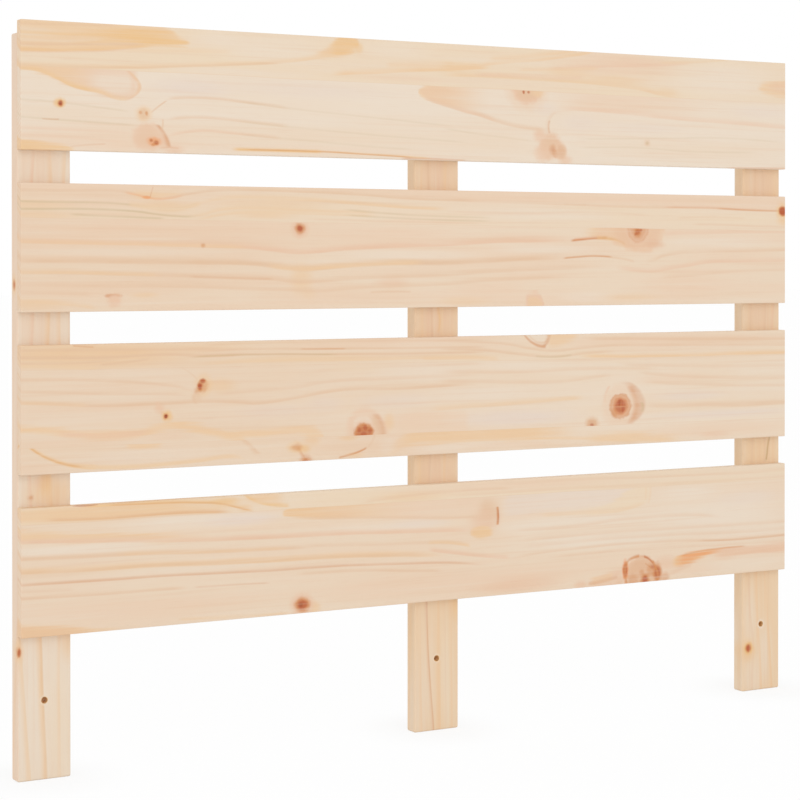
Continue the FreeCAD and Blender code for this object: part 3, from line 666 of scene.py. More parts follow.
# The lower strip of the bottom board
bottom_board_lower_shares = dict(
    base="cream", clouds=("blush", 0.4),
    patches=(
        ("pale", 0.9, 190, 18, 110, 7), ("lilac", 0.9, 250, 19, 60, 7), ("pale", 0.9, 70, 34, 140, 5),
        ("pale", 0.6, 420, 33, 110, 6), ("lilac", 0.6, 470, 33, 50, 6), ("blush", 0.8, 120, 84, 200, 12),
        ("blush", 0.8, 460, 84, 160, 14), ("pale", 0.9, 690, 40, 150, 8), ("pale", 0.9, 890, 44, 140, 16),
        ("lilac", 0.6, 940, 30, 70, 9), ("pale", 0.9, 720, 58, 170, 10), ("blush", 1.0, 600, 88, 120, 13),
        ("rose", 0.6, 600, 92, 70, 9), ("pale", 0.4, 930, 91, 100, 8), ("blush", 0.6, 850, 93, 60, 9),
        ("rose", 0.6, 815, 84, 24, 9), ("pale", 0.8, 850, 22, 60, 9), ("pale", 0.5, 620, 44, 50, 10),
        ("pale", 0.4, 200, 56, 150, 3), ("tan", 0.8, 561, 27, 24, 16), ("rose", 0.7, 556, 35, 26, 16),
        ("honey", 0.8, 337, 96, 10, 7), ("rose", 0.8, 691, 97, 13, 5), ("rust", 0.25, 747, 97, 9, 6),
        ("pale", 0.5, 690, 20, 130, 12), ("pale", 0.35, 830, 40, 280, 42),
        ("pale", 0.6, 960, 60, 130, 14),
    ),
    bands=(
        ("honey", 0.8, 4, (0.02, 0.4),
         ((-40, 15, 26), (0, 17, 26.3), (60, 21, 28), (120, 24.5, 30.5), (170, 28, 33), (240, 31.5, 35.5))),
        ("blush", 0.8, 4, (0.4, 0.1), ((370, 6, 23), (420, 6, 25.5), (470, 6, 28), (560, 6, 31))),
        ("honey", 1.0, 2, (0.03, 0.75),
         ((296, 16, 16.8), (302, 13.4, 18.6), (312, 10, 20.2), (330, 8, 21.8), (360, 6, 23.3),
          (420, 6, 25.5), (480, 6, 28.5))),
        ("rose", 0.25, 3, (0.05, 0.6),
         ((297, 16, 17), (308, 12, 19.6), (330, 9, 21.4), (370, 8, 23), (440, 8, 26))),
        ("amber", 0.3, 3, (0.05, 0.8), ((297, 16, 17), (308, 12, 19.6), (330, 9, 21.4), (370, 8, 23))),
        ("honey", 1.0, 4, (0.02, 0.02),
         ((-40, 86, 104), (0, 89.5, 104), (40, 93, 104), (80, 98, 104), (120, 103, 104))),
        ("amber", 0.65, 4, (0.02, 0.02), ((-40, 88, 104), (0, 91, 104), (40, 95, 104), (80, 101, 104))),
        ("rose", 0.5, 4, (0.02, 0.02), ((-40, 86, 104), (0, 90, 104), (40, 94, 104), (80, 100, 104))),
        ("honey", 1.0, 2, (0.08, 0.2),
         ((537, 42, 46), (545, 39.4, 48.6), (557, 38.6, 49.2), (571, 42, 47))),
        ("amber", 0.3, 3, (0.1, 0.2), ((540, 43, 46), (548, 41, 48.4), (558, 41, 48.4), (568, 44, 46))),
        ("lilac", 0.6, 4, (0.1, 0.05),
         ((574, 25, 31), (590, 14, 31), (640, 10, 29.5), (700, 10, 29), (750, 10, 26), (775, 10, 18))),
        ("straw", 0.9, 4, (0.5, 0.05),
         ((660, 29, 34), (730, 27, 35), (768, 12, 32), (785, 8, 28), (795, 8, 22))),
        ("amber", 0.65, 2.5, (0.1, 0.3),
         ((822, 83, 86), (832, 79.5, 87), (850, 77.5, 85.4), (870, 76.3, 82.4), (892, 75.4, 79),
          (928, 75, 76))),
        ("copper", 0.7, 4, (0.2, 0.3),
         ((824, 83, 86), (834, 79.6, 86.6), (850, 77.6, 85), (870, 76.3, 82), (892, 75.4, 78.6),
          (928, 75, 76))),
        ("rose", 0.95, 3, (0.2, 0.02), ((874, 78, 83), (892, 76, 84), (930, 75, 83), (1040, 74, 84))),
        ("rose", 0.7, 4, (0.3, 0.2), ((695, 97, 104), (725, 90, 104), (746, 86, 104), (758, 84, 104))),
        ("honey", 0.6, 3, (0.3, 0.2), ((700, 93, 98), (720, 91, 97), (740, 88, 95))),
    ),
    lines=(
        ("rose", 0.9, 7, 2,
         ((-40, 25.5), (0, 26.3), (50, 27.8), (100, 29.8), (150, 32), (200, 34.2), (250, 35.3),
          (300, 36.2), (350, 36.8), (440, 39), (560, 43))),
        ("tan", 0.55, 4, 2, ((310, 20.4), (340, 22.5), (400, 24.6), (450, 27), (500, 29), (560, 31))),
        ("tan", 0.7, 6, 2.5,
         ((-40, 38.7), (50, 40), (100, 41), (150, 41.8), (200, 43.6), (250, 44.7), (300, 45.6),
          (345, 46.5))),
        ("honey", 0.5, 5, 2, ((100, 41), (150, 41.8), (200, 43.6), (250, 44.7), (310, 45.8))),
        ("tan", 0.45, 5, 2.5, ((320, 44.5), (400, 47.8), (500, 51), (540, 54))),
        ("honey", 1.0, 8, 2.5,
         ((-40, 48.6), (60, 51), (100, 51.5), (150, 51.8), (200, 53.2), (250, 54.2), (300, 55.2),
          (350, 55.8), (400, 57), (450, 59), (480, 60.8), (510, 62))),
        ("tan", 0.55, 5, 2,
         ((-40, 48.6), (60, 51), (150, 51.8), (250, 54.2), (350, 55.8), (450, 59), (510, 62))),
        ("rust", 0.42, 3.5, 1.6,
         ((-40, 59.3), (50, 59.6), (100, 60.2), (140, 60.4), (200, 61.2), (250, 62.2), (300, 62.8),
          (350, 63.3), (400, 64.4), (450, 66.2), (500, 68), (530, 70), (568, 74))),
        ("tan", 0.45, 4, 2, ((-40, 63.5), (20, 64.6), (60, 65.3))),
        ("tan", 0.65, 4, 1.6, ((-40, 69), (40, 70.2), (100, 71), (150, 71.2), (190, 71.8))),
        ("rust", 0.25, 2, 1.4, ((190, 71.6), (235, 72.1), (285, 72.9))),
        ("tan", 0.65, 4, 2, ((310, 67.2), (400, 69.2), (450, 72), (505, 75))),
        ("honey", 0.8, 5, 2, ((480, 50.5), (510, 51.6), (540, 56))),
        ("rose", 0.9, 6, 2, ((480, 56), (520, 61), (555, 65), (595, 68.4))),
        ("gold", 0.5, 5, 2.5, ((630, 33), (700, 34), (750, 33.5), (788, 28))),
        ("tan", 0.4, 5, 2.5, ((590, 44), (680, 45), (760, 42), (860, 43), (900, 46))),
        ("tan", 0.4, 5, 2.5, ((590, 55), (680, 53), (780, 53), (860, 54), (1040, 55))),
        ("tan", 0.5, 4, 2,
         ((580, 70), (640, 66), (700, 64.5), (800, 64.5), (870, 66.6), (920, 68), (1040, 67.6))),
        ("rust", 0.3, 2.4, 1.6, ((860, 66.4), (920, 68), (1040, 67.6))),
        ("tan", 0.4, 4, 2, ((640, 71), (720, 70), (800, 70.5), (900, 72), (1040, 72.5))),
        ("rust", 0.14, 8, 4, ((790, 101), (815, 98), (832, 92.5), (858, 87))),
        ("rust", 0.45, 2.4, 1.4, ((836, 79.4), (852, 77.8), (870, 76.5), (892, 75.5), (940, 75))),
        ("rust", 0.35, 5, 3, ((700, 97), (722, 95.8), (746, 93))),
        ("honey", 0.6, 4, 2, ((170, 96), (220, 97.5), (310, 99))),
        ("tan", 0.35, 5, 2.5, ((590, 60), (680, 59), (800, 59), (900, 61), (1040, 61))),
    ),
    uprights=(
        ("rust", 0.95, 4, 2, ((575, 22), (575.8, 28), (576, 33), (575.2, 39))),
        ("ember", 0.35, 2.4, 1.4, ((575.4, 24), (576, 30), (575.4, 37))),
        ("gold", 0.4, 3, 2.5, ((785.5, 10), (786, 18), (785, 26))),
        ("gold", 0.4, 3, 2.5, ((792, 10), (792.5, 20), (789, 30))),
    ),
    knots=(
        (322, 93, 0.88, (("rose", 0.95, 13.4, 5), ("rust", 0.85, 8.8, 2.8), ("ember", 0.75, 5.6, 2.2))),
        (320.4, 93, 1.0, (("bark", 0.4, 2.2, 1.4),)),
        (779, 94.5, 1.0, (("rose", 1.0, 25.5, 2.4), ("tan", 0.6, 24, 4), ("rust", 0.17, 22, 6))),
        (755.4, 87.6, 2.6, (("copper", 0.85, 7.4, 2.6), ("ember", 0.75, 5, 2.6))),
        (795, 89, 1.0, (("rust", 0.5, 8, 4),)),
        (814, 97, 1.0, (("rust", 0.45, 6, 3.5),)),
        (803, 92.6, 1.8, (("rust", 0.85, 8.8, 3.6), ("ember", 0.7, 5.4, 2.8))),
        (796, 86.5, 0.7, (("ember", 0.5, 3, 1.8),)),
        (767, 97, 1.0, (("rust", 0.4, 7, 4),)),
        (784.5, 97.5, 1.1, (("rust", 0.85, 7, 3), ("ember", 0.85, 4, 2))),
        (780, 91, 1.0, (("rust", 0.5, 3.4, 2.2),)),
    ),
    cracks=(
        ("rust", 0.75, 4, 3, ((752, 88), (756, 82.4), (761, 79), (769, 76.8), (777, 76))),
        ("rust", 0.25, 3, 2.2, ((762, 78.8), (770, 76.8), (779, 76.2), (791, 79.4))),
        ("rust", 0.75, 3.4, 2.6, ((782, 76.6), (789, 78.8), (795, 82.4), (802, 90))),
        ("ember", 0.45, 2.5, 2, ((782, 76.6), (788, 78.4), (794, 82), (800, 88))),
        ("rust", 0.5, 2, 1.6, ((784, 83), (791, 86), (798, 90))),
    ),
    splits=(
        ("rust", 0.8, 4, 2.5, ((760, 80), (755.6, 86), (755.6, 92), (758, 101))),
        ("rust", 0.8, 4, 3, ((795, 80), (800, 87), (803.5, 94), (801, 102))),
    ),
)

# The left leg
left_leg_shares = dict(
    base="pale", clouds=("cream", 0.5),
    patches=(
        # The honey patch at 385 and the blush patches at 610 and 822 fill the gaps between the boards:
        # painted shade and warm bounce light there.
        ("honey", 0.8, 385, 60, 30, 60), ("rose", 0.5, 400, 45, 14, 24), ("blush", 0.6, 610, 40, 40, 60),
        ("blush", 0.6, 822, 40, 40, 60), ("honey", 0.6, 186, 96, 40, 22), ("straw", 0.5, 60, 80, 120, 40),
    ),
    lines=(
        ("honey", 0.95, 8, 2, ((-60, 57), (10, 53), (60, 50), (130, 46), (190, 43), (330, 40))),
        ("tan", 0.45, 3, 2, ((-60, 57), (10, 53), (60, 50), (130, 46), (200, 42.6))),
        ("honey", 0.7, 7, 2, ((-60, 27), (10, 22.6), (60, 18), (110, 13), (180, 5), (240, -2))),
        ("honey", 0.5, 5, 2, ((-60, 82), (60, 79), (140, 78), (260, 82))),
        ("honey", 0.7, 7, 2, ((320, 70), (400, 62), (520, 56), (620, 60), (760, 66), (860, 60))),
        ("rose", 0.7, 5, 2, ((320, 30), (400, 24), (520, 22), (620, 30), (760, 26), (860, 34))),
        ("honey", 0.6, 6, 2, ((480, 88), (600, 80), (720, 84), (860, 92))),
    ),
    side_knots=(
        (500, 0, 9, (0, 1, 0), (("rose", 0.45, 1.2, 1),)),
        (174, 3, 1, (0.62, 1.5, 0.7),
         (("honey", 0.7, 7, 4), ("rust", 0.9, 3.4, 1.6), ("ember", 0.7, 2.2, 1.2))),
        (664, 0, 9, (0.8, 0.5, 1.2),
         (("honey", 0.7, 9, 4), ("rust", 0.8, 4.6, 2.2), ("ember", 0.6, 2.4, 1.4))),
        (379.5, 25, 0, (1, 1, 1), (("tan", 0.8, 3.4, 2), ("rust", 0.4, 1.8, 1.2))),
        (399, 52, 0, (0.6, 1.2, 1), (("amber", 0.5, 7, 5),)),
    ),
    holes=((106.7, 50, (("pale", 0.5, 5.5, 1.5), ("amber", 1.0, 3.9, 0.3))),),
)

# The middle leg
middle_leg_shares = dict(
    base="gold", clouds=("straw", 0.4),
    patches=(
        # The three rose patches fill the gaps between the boards: painted shade and warm bounce light
        # there.
        ("rose", 0.55, 385, 50, 40, 60), ("rose", 0.55, 610, 50, 40, 60), ("rose", 0.55, 822, 50, 40, 60),
        ("straw", 0.9, 70, 76, 130, 20), ("cream", 0.6, 70, 40, 130, 14), ("amber", 0.4, 190, 94, 40, 16),
        ("cream", 0.8, 40, 14, 130, 22),
    ),
    lines=(
        ("tan", 0.9, 5, 1.6,
         ((-60, 47), (10, 42.6), (60, 37), (110, 32), (150, 29), (200, 27), (330, 24))),
        ("rust", 0.3, 2, 1.4, ((-60, 47), (10, 42.6), (60, 37), (110, 32), (150, 29), (220, 27))),
        ("honey", 0.9, 8, 2, ((-60, 60), (60, 57), (130, 56), (200, 55), (330, 52))),
        ("honey", 0.7, 5, 2, ((-60, 86), (60, 85), (150, 83), (260, 84))),
        ("honey", 0.6, 6, 2, ((-60, 18), (60, 15), (150, 12), (260, 8))),
        ("tan", 0.8, 4, 2, ((330, 30), (400, 36), (520, 42), (640, 38), (800, 32), (1000, 24))),
        ("honey", 0.8, 6, 2, ((320, 66), (420, 70), (600, 64), (840, 72), (1050, 76))),
        ("honey", 0.7, 5, 2, ((330, 12), (480, 14), (600, 18), (700, 14), (860, 18))),
        ("amber", 0.7, 4, 2, ((588, 54), (606, 58), (624, 55), (640, 56))),
        ("rose", 0.6, 4, 2, ((560, 34), (600, 32), (640, 36), (800, 56), (860, 60))),
    ),
    holes=((106.7, 50, (("pale", 0.4, 5.5, 1.5), ("amber", 1.0, 3.9, 0.3))),),
)

# The right leg
right_leg_shares = dict(
    base="gold", clouds=("straw", 0.4),
    patches=(
        # The honey patch at 385 and the rose patches at 605 and 822 fill the gaps between the boards:
        # painted shade and warm bounce light there.
        ("honey", 0.7, 385, 50, 40, 60), ("rose", 0.45, 605, 50, 40, 60), ("rose", 0.55, 822, 50, 40, 60),
        ("cream", 0.8, 60, 60, 70, 30), ("cream", 0.8, 20, 30, 50, 40), ("cream", 0.7, 120, 24, 70, 26),
    ),
    lines=(
        ("honey", 0.9, 6, 2, ((-60, 56), (10, 52), (60, 48), (130, 42), (190, 38), (330, 34))),
        ("honey", 0.9, 6, 2, ((-60, 84), (10, 80), (60, 76), (130, 68), (190, 62), (330, 58))),
        ("tan", 0.4, 4, 2, ((-60, 30), (20, 28), (80, 30), (130, 22), (200, 16))),
        ("tan", 0.5, 4, 2, ((320, 60), (400, 62), (520, 58), (640, 62), (860, 54), (1050, 50))),
        ("tan", 0.5, 4, 2, ((330, 22), (420, 28), (600, 22), (720, 30), (900, 34))),
        ("honey", 0.6, 5, 2, ((320, 84), (540, 86), (620, 82), (800, 88), (1050, 90))),
        ("olive", 0.9, 3.5, 2, ((370, 65), (382, 68), (394, 70), (412, 75))),
        ("rust", 0.3, 2.5, 1.6, ((372, 65.4), (382, 68), (394, 70), (408, 74))),
        ("rose", 0.6, 4, 2, ((575, 80), (600, 82), (630, 87))),
    ),
    side_knots=(
        (66, 14, 0, (0.9, 1.1, 0.5), (("honey", 1.0, 12, 6),)),
        (69, 16, 0, (0.95, 1.05, 0.2),
         (("amber", 0.95, 8, 2.5), ("rust", 0.95, 5.2, 1.8), ("ember", 0.85, 3.4, 1.6))),
    ),
    holes=((106.7, 50, (("pale", 0.7, 6, 1.5), ("amber", 1.0, 3.9, 0.3))),),
)

grain_of_boards = {
    "top_board": (top_board_upper_shares, top_board_lower_shares),
    "second_board": (second_board_upper_shares, second_board_lower_shares),
    "third_board": (third_board_upper_shares, third_board_middle_shares, third_board_lower_shares),
    "bottom_board": (bottom_board_upper_shares, bottom_board_lower_shares),
}
grain_of_legs = {
    "left_leg": (left_leg_shares,),
    "middle_leg": (middle_leg_shares,),
    "right_leg": (right_leg_shares,),
}


def linear(level):
    """A screen level as the linear share of light that a shader takes."""
    share = level / screen_white
    if share <= dark_limit:
        return share / dark_slope
    return ((share + light_offset) / (1 + light_offset)) ** light_power


def tone(label, description, *levels):
    """A colour that a user can change, by its red, green and blue screen levels."""
    return bpy.props.FloatVectorProperty(
        name=label, description=description, subtype="COLOR", min=0.0, max=1.0,
        default=tuple(linear(level) for level in levels))


def length(label, description, default):
    """A length in metres that a user can change."""
    return bpy.props.FloatProperty(
        name=label, description=description, unit="LENGTH", min=0.0, precision=5, default=default)


def amount(label, description, default):
    """A plain number that a user can change."""
    return bpy.props.FloatProperty(
        name=label, description=description, min=0.0, precision=3, default=default)


def power(label, description, default):
    """The power of a lamp in watts that a user can change."""
    return bpy.props.FloatProperty(
        name=label, description=description, unit="POWER", min=0.0, default=default)


def angle(label, description, default):
    """An angle in radians that a user can change."""
    return bpy.props.FloatProperty(name=label, description=description, subtype="ANGLE", default=default)


def spot(label, description, default):
    """A place in metres that a user can change."""
    return bpy.props.FloatVectorProperty(
        name=label, description=description, subtype="TRANSLATION", default=default)


class PineTones(bpy.types.PropertyGroup):
    """The tones that the grain of the boards and legs is made of, and the painted shade laid over some of
    it.
    """

    # Tan, rose, blush and honey are also laid as painted shade: tan over the left part of the second and
    # third boards, the others on the legs in the gaps between the boards.
    pale: tone("Pale", "Early wood at its lightest", 236, 220, 201)
    cream: tone("Cream", "Plain early wood", 235, 214, 190)
    blush: tone("Blush", "Early wood with a pink cast", 235, 208, 182)
    lilac: tone("Lilac", "Early wood with a cool cast", 232, 215, 200)
    straw: tone("Straw", "Early wood with a yellow cast", 236, 215, 188)
    rose: tone("Rose", "Pink late wood", 233, 197, 168)
    honey: tone("Honey", "Soft orange late wood", 236, 202, 163)
    gold: tone("Gold", "Yellow late wood", 235, 205, 170)
    amber: tone("Amber", "Strong orange late wood", 236, 194, 138)
    tan: tone("Tan", "Brown late wood", 228, 193, 160)
    olive: tone("Olive", "Greenish brown late wood", 206, 182, 140)
    copper: tone("Copper", "Bright red orange of resin and young knots", 236, 160, 106)
    rust: tone("Rust", "Dark orange late wood and knots", 212, 142, 88)
    ember: tone("Ember", "Red brown of knots", 182, 85, 48)
    bark: tone("Bark", "Dark heart of knots", 130, 58, 26)


class PineFinish(bpy.types.PropertyGroup):
    """How the grain runs through the pine and how its sanded surface looks close up."""

    roughness: bpy.props.FloatProperty(
        name="Roughness", description="Roughness of bare sanded pine", subtype="FACTOR", min=0.0, max=1.0,
        default=0.6)
    fibre_height: length("Fibre Height", "How far fibres stand out of the surface", 0.00012)
    fibre_tint: amount("Fibre Tint", "How much the fibres darken the wood", 0.17)
    wander: amount("Wander", "How far a line of grain strays, in millimetres", 1.2)
    feathering: amount("Feathering", "How far fibres fray the edges of a broad figure", 1.6)
    mottling: amount("Mottling", "How uneven a broad figure is within", 0.9)
    raggedness: amount("Raggedness", "How ragged the outline of a knot is, in millimetres", 2.4)
    tilt: amount("Tilt", "How far the grain runs sideways for each millimetre of depth", 0.6)
    lean: amount("Lean", "How far the grain runs lengthwise for each millimetre of depth", 1.8)
    end_depth: amount("End Depth", "How far end grain shows in from an end, in millimetres", 0.8)
    end_tint: amount("End Tint", "How much darker end grain is", 0.05)
    ring_width: amount("Ring Width", "From one growth ring to the next, in millimetres", 4.0)
    ring_tint: amount("Ring Tint", "How strongly growth rings show in end grain", 0.5)
    seed_step: amount("Seed Step", "How far apart in the noise two pieces lie, in millimetres", 1700.0)


class ScrewSizes(bpy.types.PropertyGroup):
    """The countersunk wood screws that hold the boards from behind."""

    head_diameter: length("Head Diameter", "Across the flat of the head", screw_high.x - screw_low.x)
    screw_length: length("Length", "From the flat of the head to the tip", screw_high.y - screw_low.y)
    head_rim: length("Head Rim", "Height of the straight edge of the head", 0.0004)
    shank_diameter: length("Shank Diameter", "Across the neck and the thread", 0.004)
    neck_length: length("Neck Length", "Plain length under the head", 0.001)
    core_diameter: length("Core Diameter", "Across the core of the thread", 0.0026)
    thread_pitch: length("Thread Pitch", "From one turn of the thread to the next", 0.0018)
    tip_length: length("Tip Length", "Length of the point", 0.0035)
    recess_reach: length("Recess Reach", "Across the wings of the driver recess", 0.0044)
    recess_wing: length("Recess Wing", "Width of one wing of the driver recess", 0.001)
    recess_depth: length("Recess Depth", "How deep the driver recess is", 0.0017)
    turn_seed: bpy.props.IntProperty(
        name="Turn Seed", description="Seed for how far each screw is turned", default=4)
    steel: tone("Steel", "Zinc plated steel", 196, 194, 188)


class Studio(bpy.types.PropertyGroup):
    """The white studio and its camera."""

    ambient: amount("Ambient", "Light from all round", 0.832)
    lamp_power: power("Lamp Power", "Power of the large lamp in front", 22.4)
    side_power: power("Side Power", "Power of the large lamp on the left", 34.0)
    lamp_size: length("Lamp Size", "Width of each large lamp", 3.0)
    lamp_place: spot("Lamp Place", "Where the large lamp in front hangs", (0.0, -3.6, 1.7))
    side_place: spot("Side Place", "Where the large lamp on the left hangs", (-6.0, -0.6, 1.6))
    lamp_aim: spot("Lamp Aim", "What the large lamps point at", (0.0, 0.0, 0.4))
    floor_size: length("Floor Size", "Width of the floor", 60.0)
    foot_glow: amount("Foot Glow", "How much of the floor at a foot is lit up to white", 0.82)
    floor_glow: amount("Floor Glow", "How much of the open floor is lit up to white", 0.96)
    glow_start: length("Glow Start", "How far from the middle of a foot the floor turns whiter", 0.03)
    glow_end: length("Glow End", "How far from the middle of a foot the floor is white", 0.11)
    camera_place: spot("Camera", "Where the camera stands", (-1.2992, -2.1903, 0.5556))
    camera_turn: angle("Camera Turn", "How far the camera is turned from facing the boards", -0.519)
    camera_dip: angle("Camera Dip", "How far the camera looks down", 0.007)
    camera_lens: bpy.props.FloatProperty(
        name="Lens", description="Focal length in millimetres", default=97.03)
    camera_shift: bpy.props.FloatProperty(
        name="Shift", description="Lens shift, up and down", default=-0.1562)


def blank_tree(owner):
    """The emptied node tree of a material or a world."""
    owner.use_nodes = True
    owner.node_tree.nodes.clear()
    return owner.node_tree


def place(tree, kind, inputs=None, **settings):
    """A node with its settings, and with each input linked to a socket or set to a value."""
    node = tree.nodes.new(kind)
    for name, value in settings.items():
        setattr(node, name, value)
    for key, value in (inputs or {}).items():
        if isinstance(value, bpy.types.NodeSocket):
            tree.links.new(value, node.inputs[key])
        else:
            node.inputs[key].default_value = value
    return node


def maths(tree, operation, first, second=0.0, third=0.0):
    """One sum of two or three numbers."""
    return place(tree, "ShaderNodeMath", {0: first, 1: second, 2: third}, operation=operation).outputs[0]


def vectors(tree, operation, first, second=(0.0, 0.0, 0.0)):
    """One sum of two vectors."""
    return place(tree, "ShaderNodeVectorMath", {0: first, 1: second}, operation=operation).outputs[0]


def parted(tree, whole):
    """The three parts of a vector."""
    return place(tree, "ShaderNodeSeparateXYZ", {0: whole}).outputs


def combined(tree, first, second, third):
    """A vector from its three parts."""
    return place(tree, "ShaderNodeCombineXYZ", {0: first, 1: second, 2: third}).outputs[0]


def reach_of(tree, away, squeeze):
    """The length of a vector that is squeezed by another."""
    squeezed = vectors(tree, "MULTIPLY", away, squeeze)
    return place(tree, "ShaderNodeVectorMath", {0: squeezed}, operation="LENGTH").outputs["Value"]


def eased(tree, value, low, high, start=0.0, end=1.0):
    """A number that goes smoothly from start to end while a value goes from low to high."""
    inputs = {0: value, 1: low, 2: high, 3: start, 4: end}
    # A smooth step needs no clamp, and each one left out keeps a long material within the renderer's memory
    node = place(tree, "ShaderNodeMapRange", inputs, interpolation_type="SMOOTHSTEP", clamp=False)
    return node.outputs[0]


def blended(tree, share, first, second):
    """A colour that goes from the first to the second with a share."""
    inputs = {mix_factor: share, mix_first: first, mix_second: second}
    return place(tree, "ShaderNodeMix", inputs, data_type="RGBA").outputs[mix_result]


def speckle(tree, where, cells, detail=usual_detail):
    """Noise from 0 to 1 over a place in millimetres."""
    squeezed = vectors(tree, "MULTIPLY", where, cells)
    inputs = {"Vector": squeezed, "Scale": 1.0, "Detail": detail}
    return place(tree, "ShaderNodeTexNoise", inputs).outputs[0]


def sway(tree, where, cells, detail=usual_detail):
    """Noise about 0 over a place in millimetres."""
    return maths(tree, "SUBTRACT", speckle(tree, where, cells, detail), half_swing)


def new_group(name, inputs, outputs):
    """An empty shader node group, with its input and output sockets by name."""
    tree = bpy.data.node_groups.new(name, "ShaderNodeTree")
    for label, kind in inputs.items():
        tree.interface.new_socket(label, in_out="INPUT", socket_type=kind)
    for label, kind in outputs.items():
        tree.interface.new_socket(label, in_out="OUTPUT", socket_type=kind)
    given = tree.nodes.new("NodeGroupInput").outputs
    result = tree.nodes.new("NodeGroupOutput").inputs
    return tree, given, result


def grain_space_group(name):
    """Where a point lies in the wood: lines of grain stray a little and slant through a piece."""
    inputs = {"Place": vector, "Tilt": number, "Lean": number, "Wander": number, "Seed": vector}
    tree, given, result = new_group(name, inputs, {"Place": vector, "Wood": vector})
    parts = parted(tree, given["Place"])
    along = maths(tree, "MULTIPLY_ADD", parts[2], given["Lean"], parts[0])
    across = maths(tree, "MULTIPLY_ADD", parts[2], given["Tilt"], parts[1])
    wood = vectors(tree, "ADD", combined(tree, along, across, parts[2]), given["Seed"])
    stray = sway(tree, wood, stray_cells, coarse_detail)
    across = maths(tree, "MULTIPLY_ADD", stray, given["Wander"], across)
    tree.links.new(combined(tree, along, across, parts[2]), result["Place"])
    tree.links.new(wood, result["Wood"])
    return tree


def faded(tree, given, mask):
    """A mask that fades in and out at the ends of a line or band, times its strength."""
    mask = maths(tree, "MULTIPLY", mask, eased(tree, given["Share"], 0.0, given["Fade In"]))
    mask = maths(tree, "MULTIPLY", mask, eased(tree, given["Share"], 1.0, given["Fade Out"]))
    return maths(tree, "MULTIPLY", mask, given["Strength"])


def grain_line_group(name):
    """The mask of one line of late wood, which darkens slowly and breaks off sharply."""
    names = ("Across", "Line", "Before", "Behind", "Share", "Fade In", "Fade Out", "Strength")
    tree, given, result = new_group(name, dict.fromkeys(names, number), {"Mask": number})
    away = maths(tree, "SUBTRACT", given["Across"], given["Line"])
    slow = eased(tree, away, given["Before"], 0.0)
    sharp = eased(tree, away, given["Behind"], 0.0)
    tree.links.new(faded(tree, given, maths(tree, "MINIMUM", slow, sharp)), result["Mask"])
    return tree


def grain_band_group(name):
    """The mask of a broad figure in the grain, between an upper and a lower edge that fibres fray."""
    names = ("Across", "Upper", "Lower", "Soft", "Fray", "Share", "Fade In", "Fade Out", "Strength")
    tree, given, result = new_group(name, dict.fromkeys(names, number), {"Mask": number})
    above = maths(tree, "SUBTRACT", given["Across"], given["Upper"])
    below = maths(tree, "SUBTRACT", given["Lower"], given["Across"])
    inside = maths(tree, "DIVIDE", maths(tree, "MINIMUM", above, below), given["Soft"])
    mask = eased(tree, maths(tree, "ADD", inside, given["Fray"]), -half_swing, half_swing)
    tree.links.new(faded(tree, given, mask), result["Mask"])
    return tree


def soft_patch_group(name):
    """The mask of a soft oval patch of another tone."""
    inputs = {"Place": vector, "Centre": vector, "Squeeze": vector, "Strength": number}
    tree, given, result = new_group(name, inputs, {"Mask": number})
    away = vectors(tree, "SUBTRACT", given["Place"], given["Centre"])
    reach = reach_of(tree, away, given["Squeeze"])
    mask = eased(tree, reach, patch_end_share, patch_full_share, 0.0, given["Strength"])
    tree.links.new(mask, result["Mask"])
    return tree


def knot_group(name):
    """How far a point lies from the heart of a knot, in millimetres, with a ragged outline."""
    inputs = {"Place": vector, "Centre": vector, "Squeeze": vector, "Ragged": number}
    tree, given, result = new_group(name, inputs, {"Distance": number})
    away = vectors(tree, "SUBTRACT", given["Place"], given["Centre"])
    reach = reach_of(tree, away, given["Squeeze"])
    spread = maths(tree, "MULTIPLY_ADD", reach, knot_spread, 1.0)
    tree.links.new(maths(tree, "MULTIPLY_ADD", given["Ragged"], spread, reach), result["Distance"])
    return tree


def pine_fibre_group(name):
    """Streaks of a few millimetres and fine fibres, both drawn out along the grain."""
    tree, given, result = new_group(name, {"Wood": vector}, {"Streak": number, "Fibre": number})
    tree.links.new(speckle(tree, given["Wood"], streak_cells, fine_detail), result["Streak"])
    tree.links.new(speckle(tree, given["Wood"], fibre_cells, fine_detail), result["Fibre"])
    return tree


def growth_ring_group(name):
    """The late wood of growth rings about a pith, as end grain shows them."""
    inputs = {"Place": vector, "Pith": vector, "Ring": number, "Wobble": number}
    tree, given, result = new_group(name, inputs, {"Late": number})
    away = vectors(tree, "SUBTRACT", given["Place"], given["Pith"])
    reach = reach_of(tree, away, (0.0, 1.0, 1.0))
    bend = speckle(tree, given["Place"], ring_cells, coarse_detail)
    reach = maths(tree, "MULTIPLY_ADD", bend, given["Wobble"], reach)
    turn = maths(tree, "FRACT", maths(tree, "DIVIDE", reach, given["Ring"]))
    rise = eased(tree, turn, late_start_share, late_peak_share)
    fall = eased(tree, turn, 1.0, late_peak_share)
    tree.links.new(maths(tree, "MULTIPLY", rise, fall), result["Late"])
    return tree


group_makers = {
    "Grain Space": grain_space_group,
    "Grain Line": grain_line_group,
    "Grain Band": grain_band_group,
    "Soft Patch": soft_patch_group,
    "Knot": knot_group,
    "Pine Fibre": pine_fibre_group,
    "Growth Rings": growth_ring_group,
}


def shared_group(name):
    """A shader group that the pine materials share, made when it is first needed."""
    return bpy.data.node_groups.get(name) or group_makers[name](name)


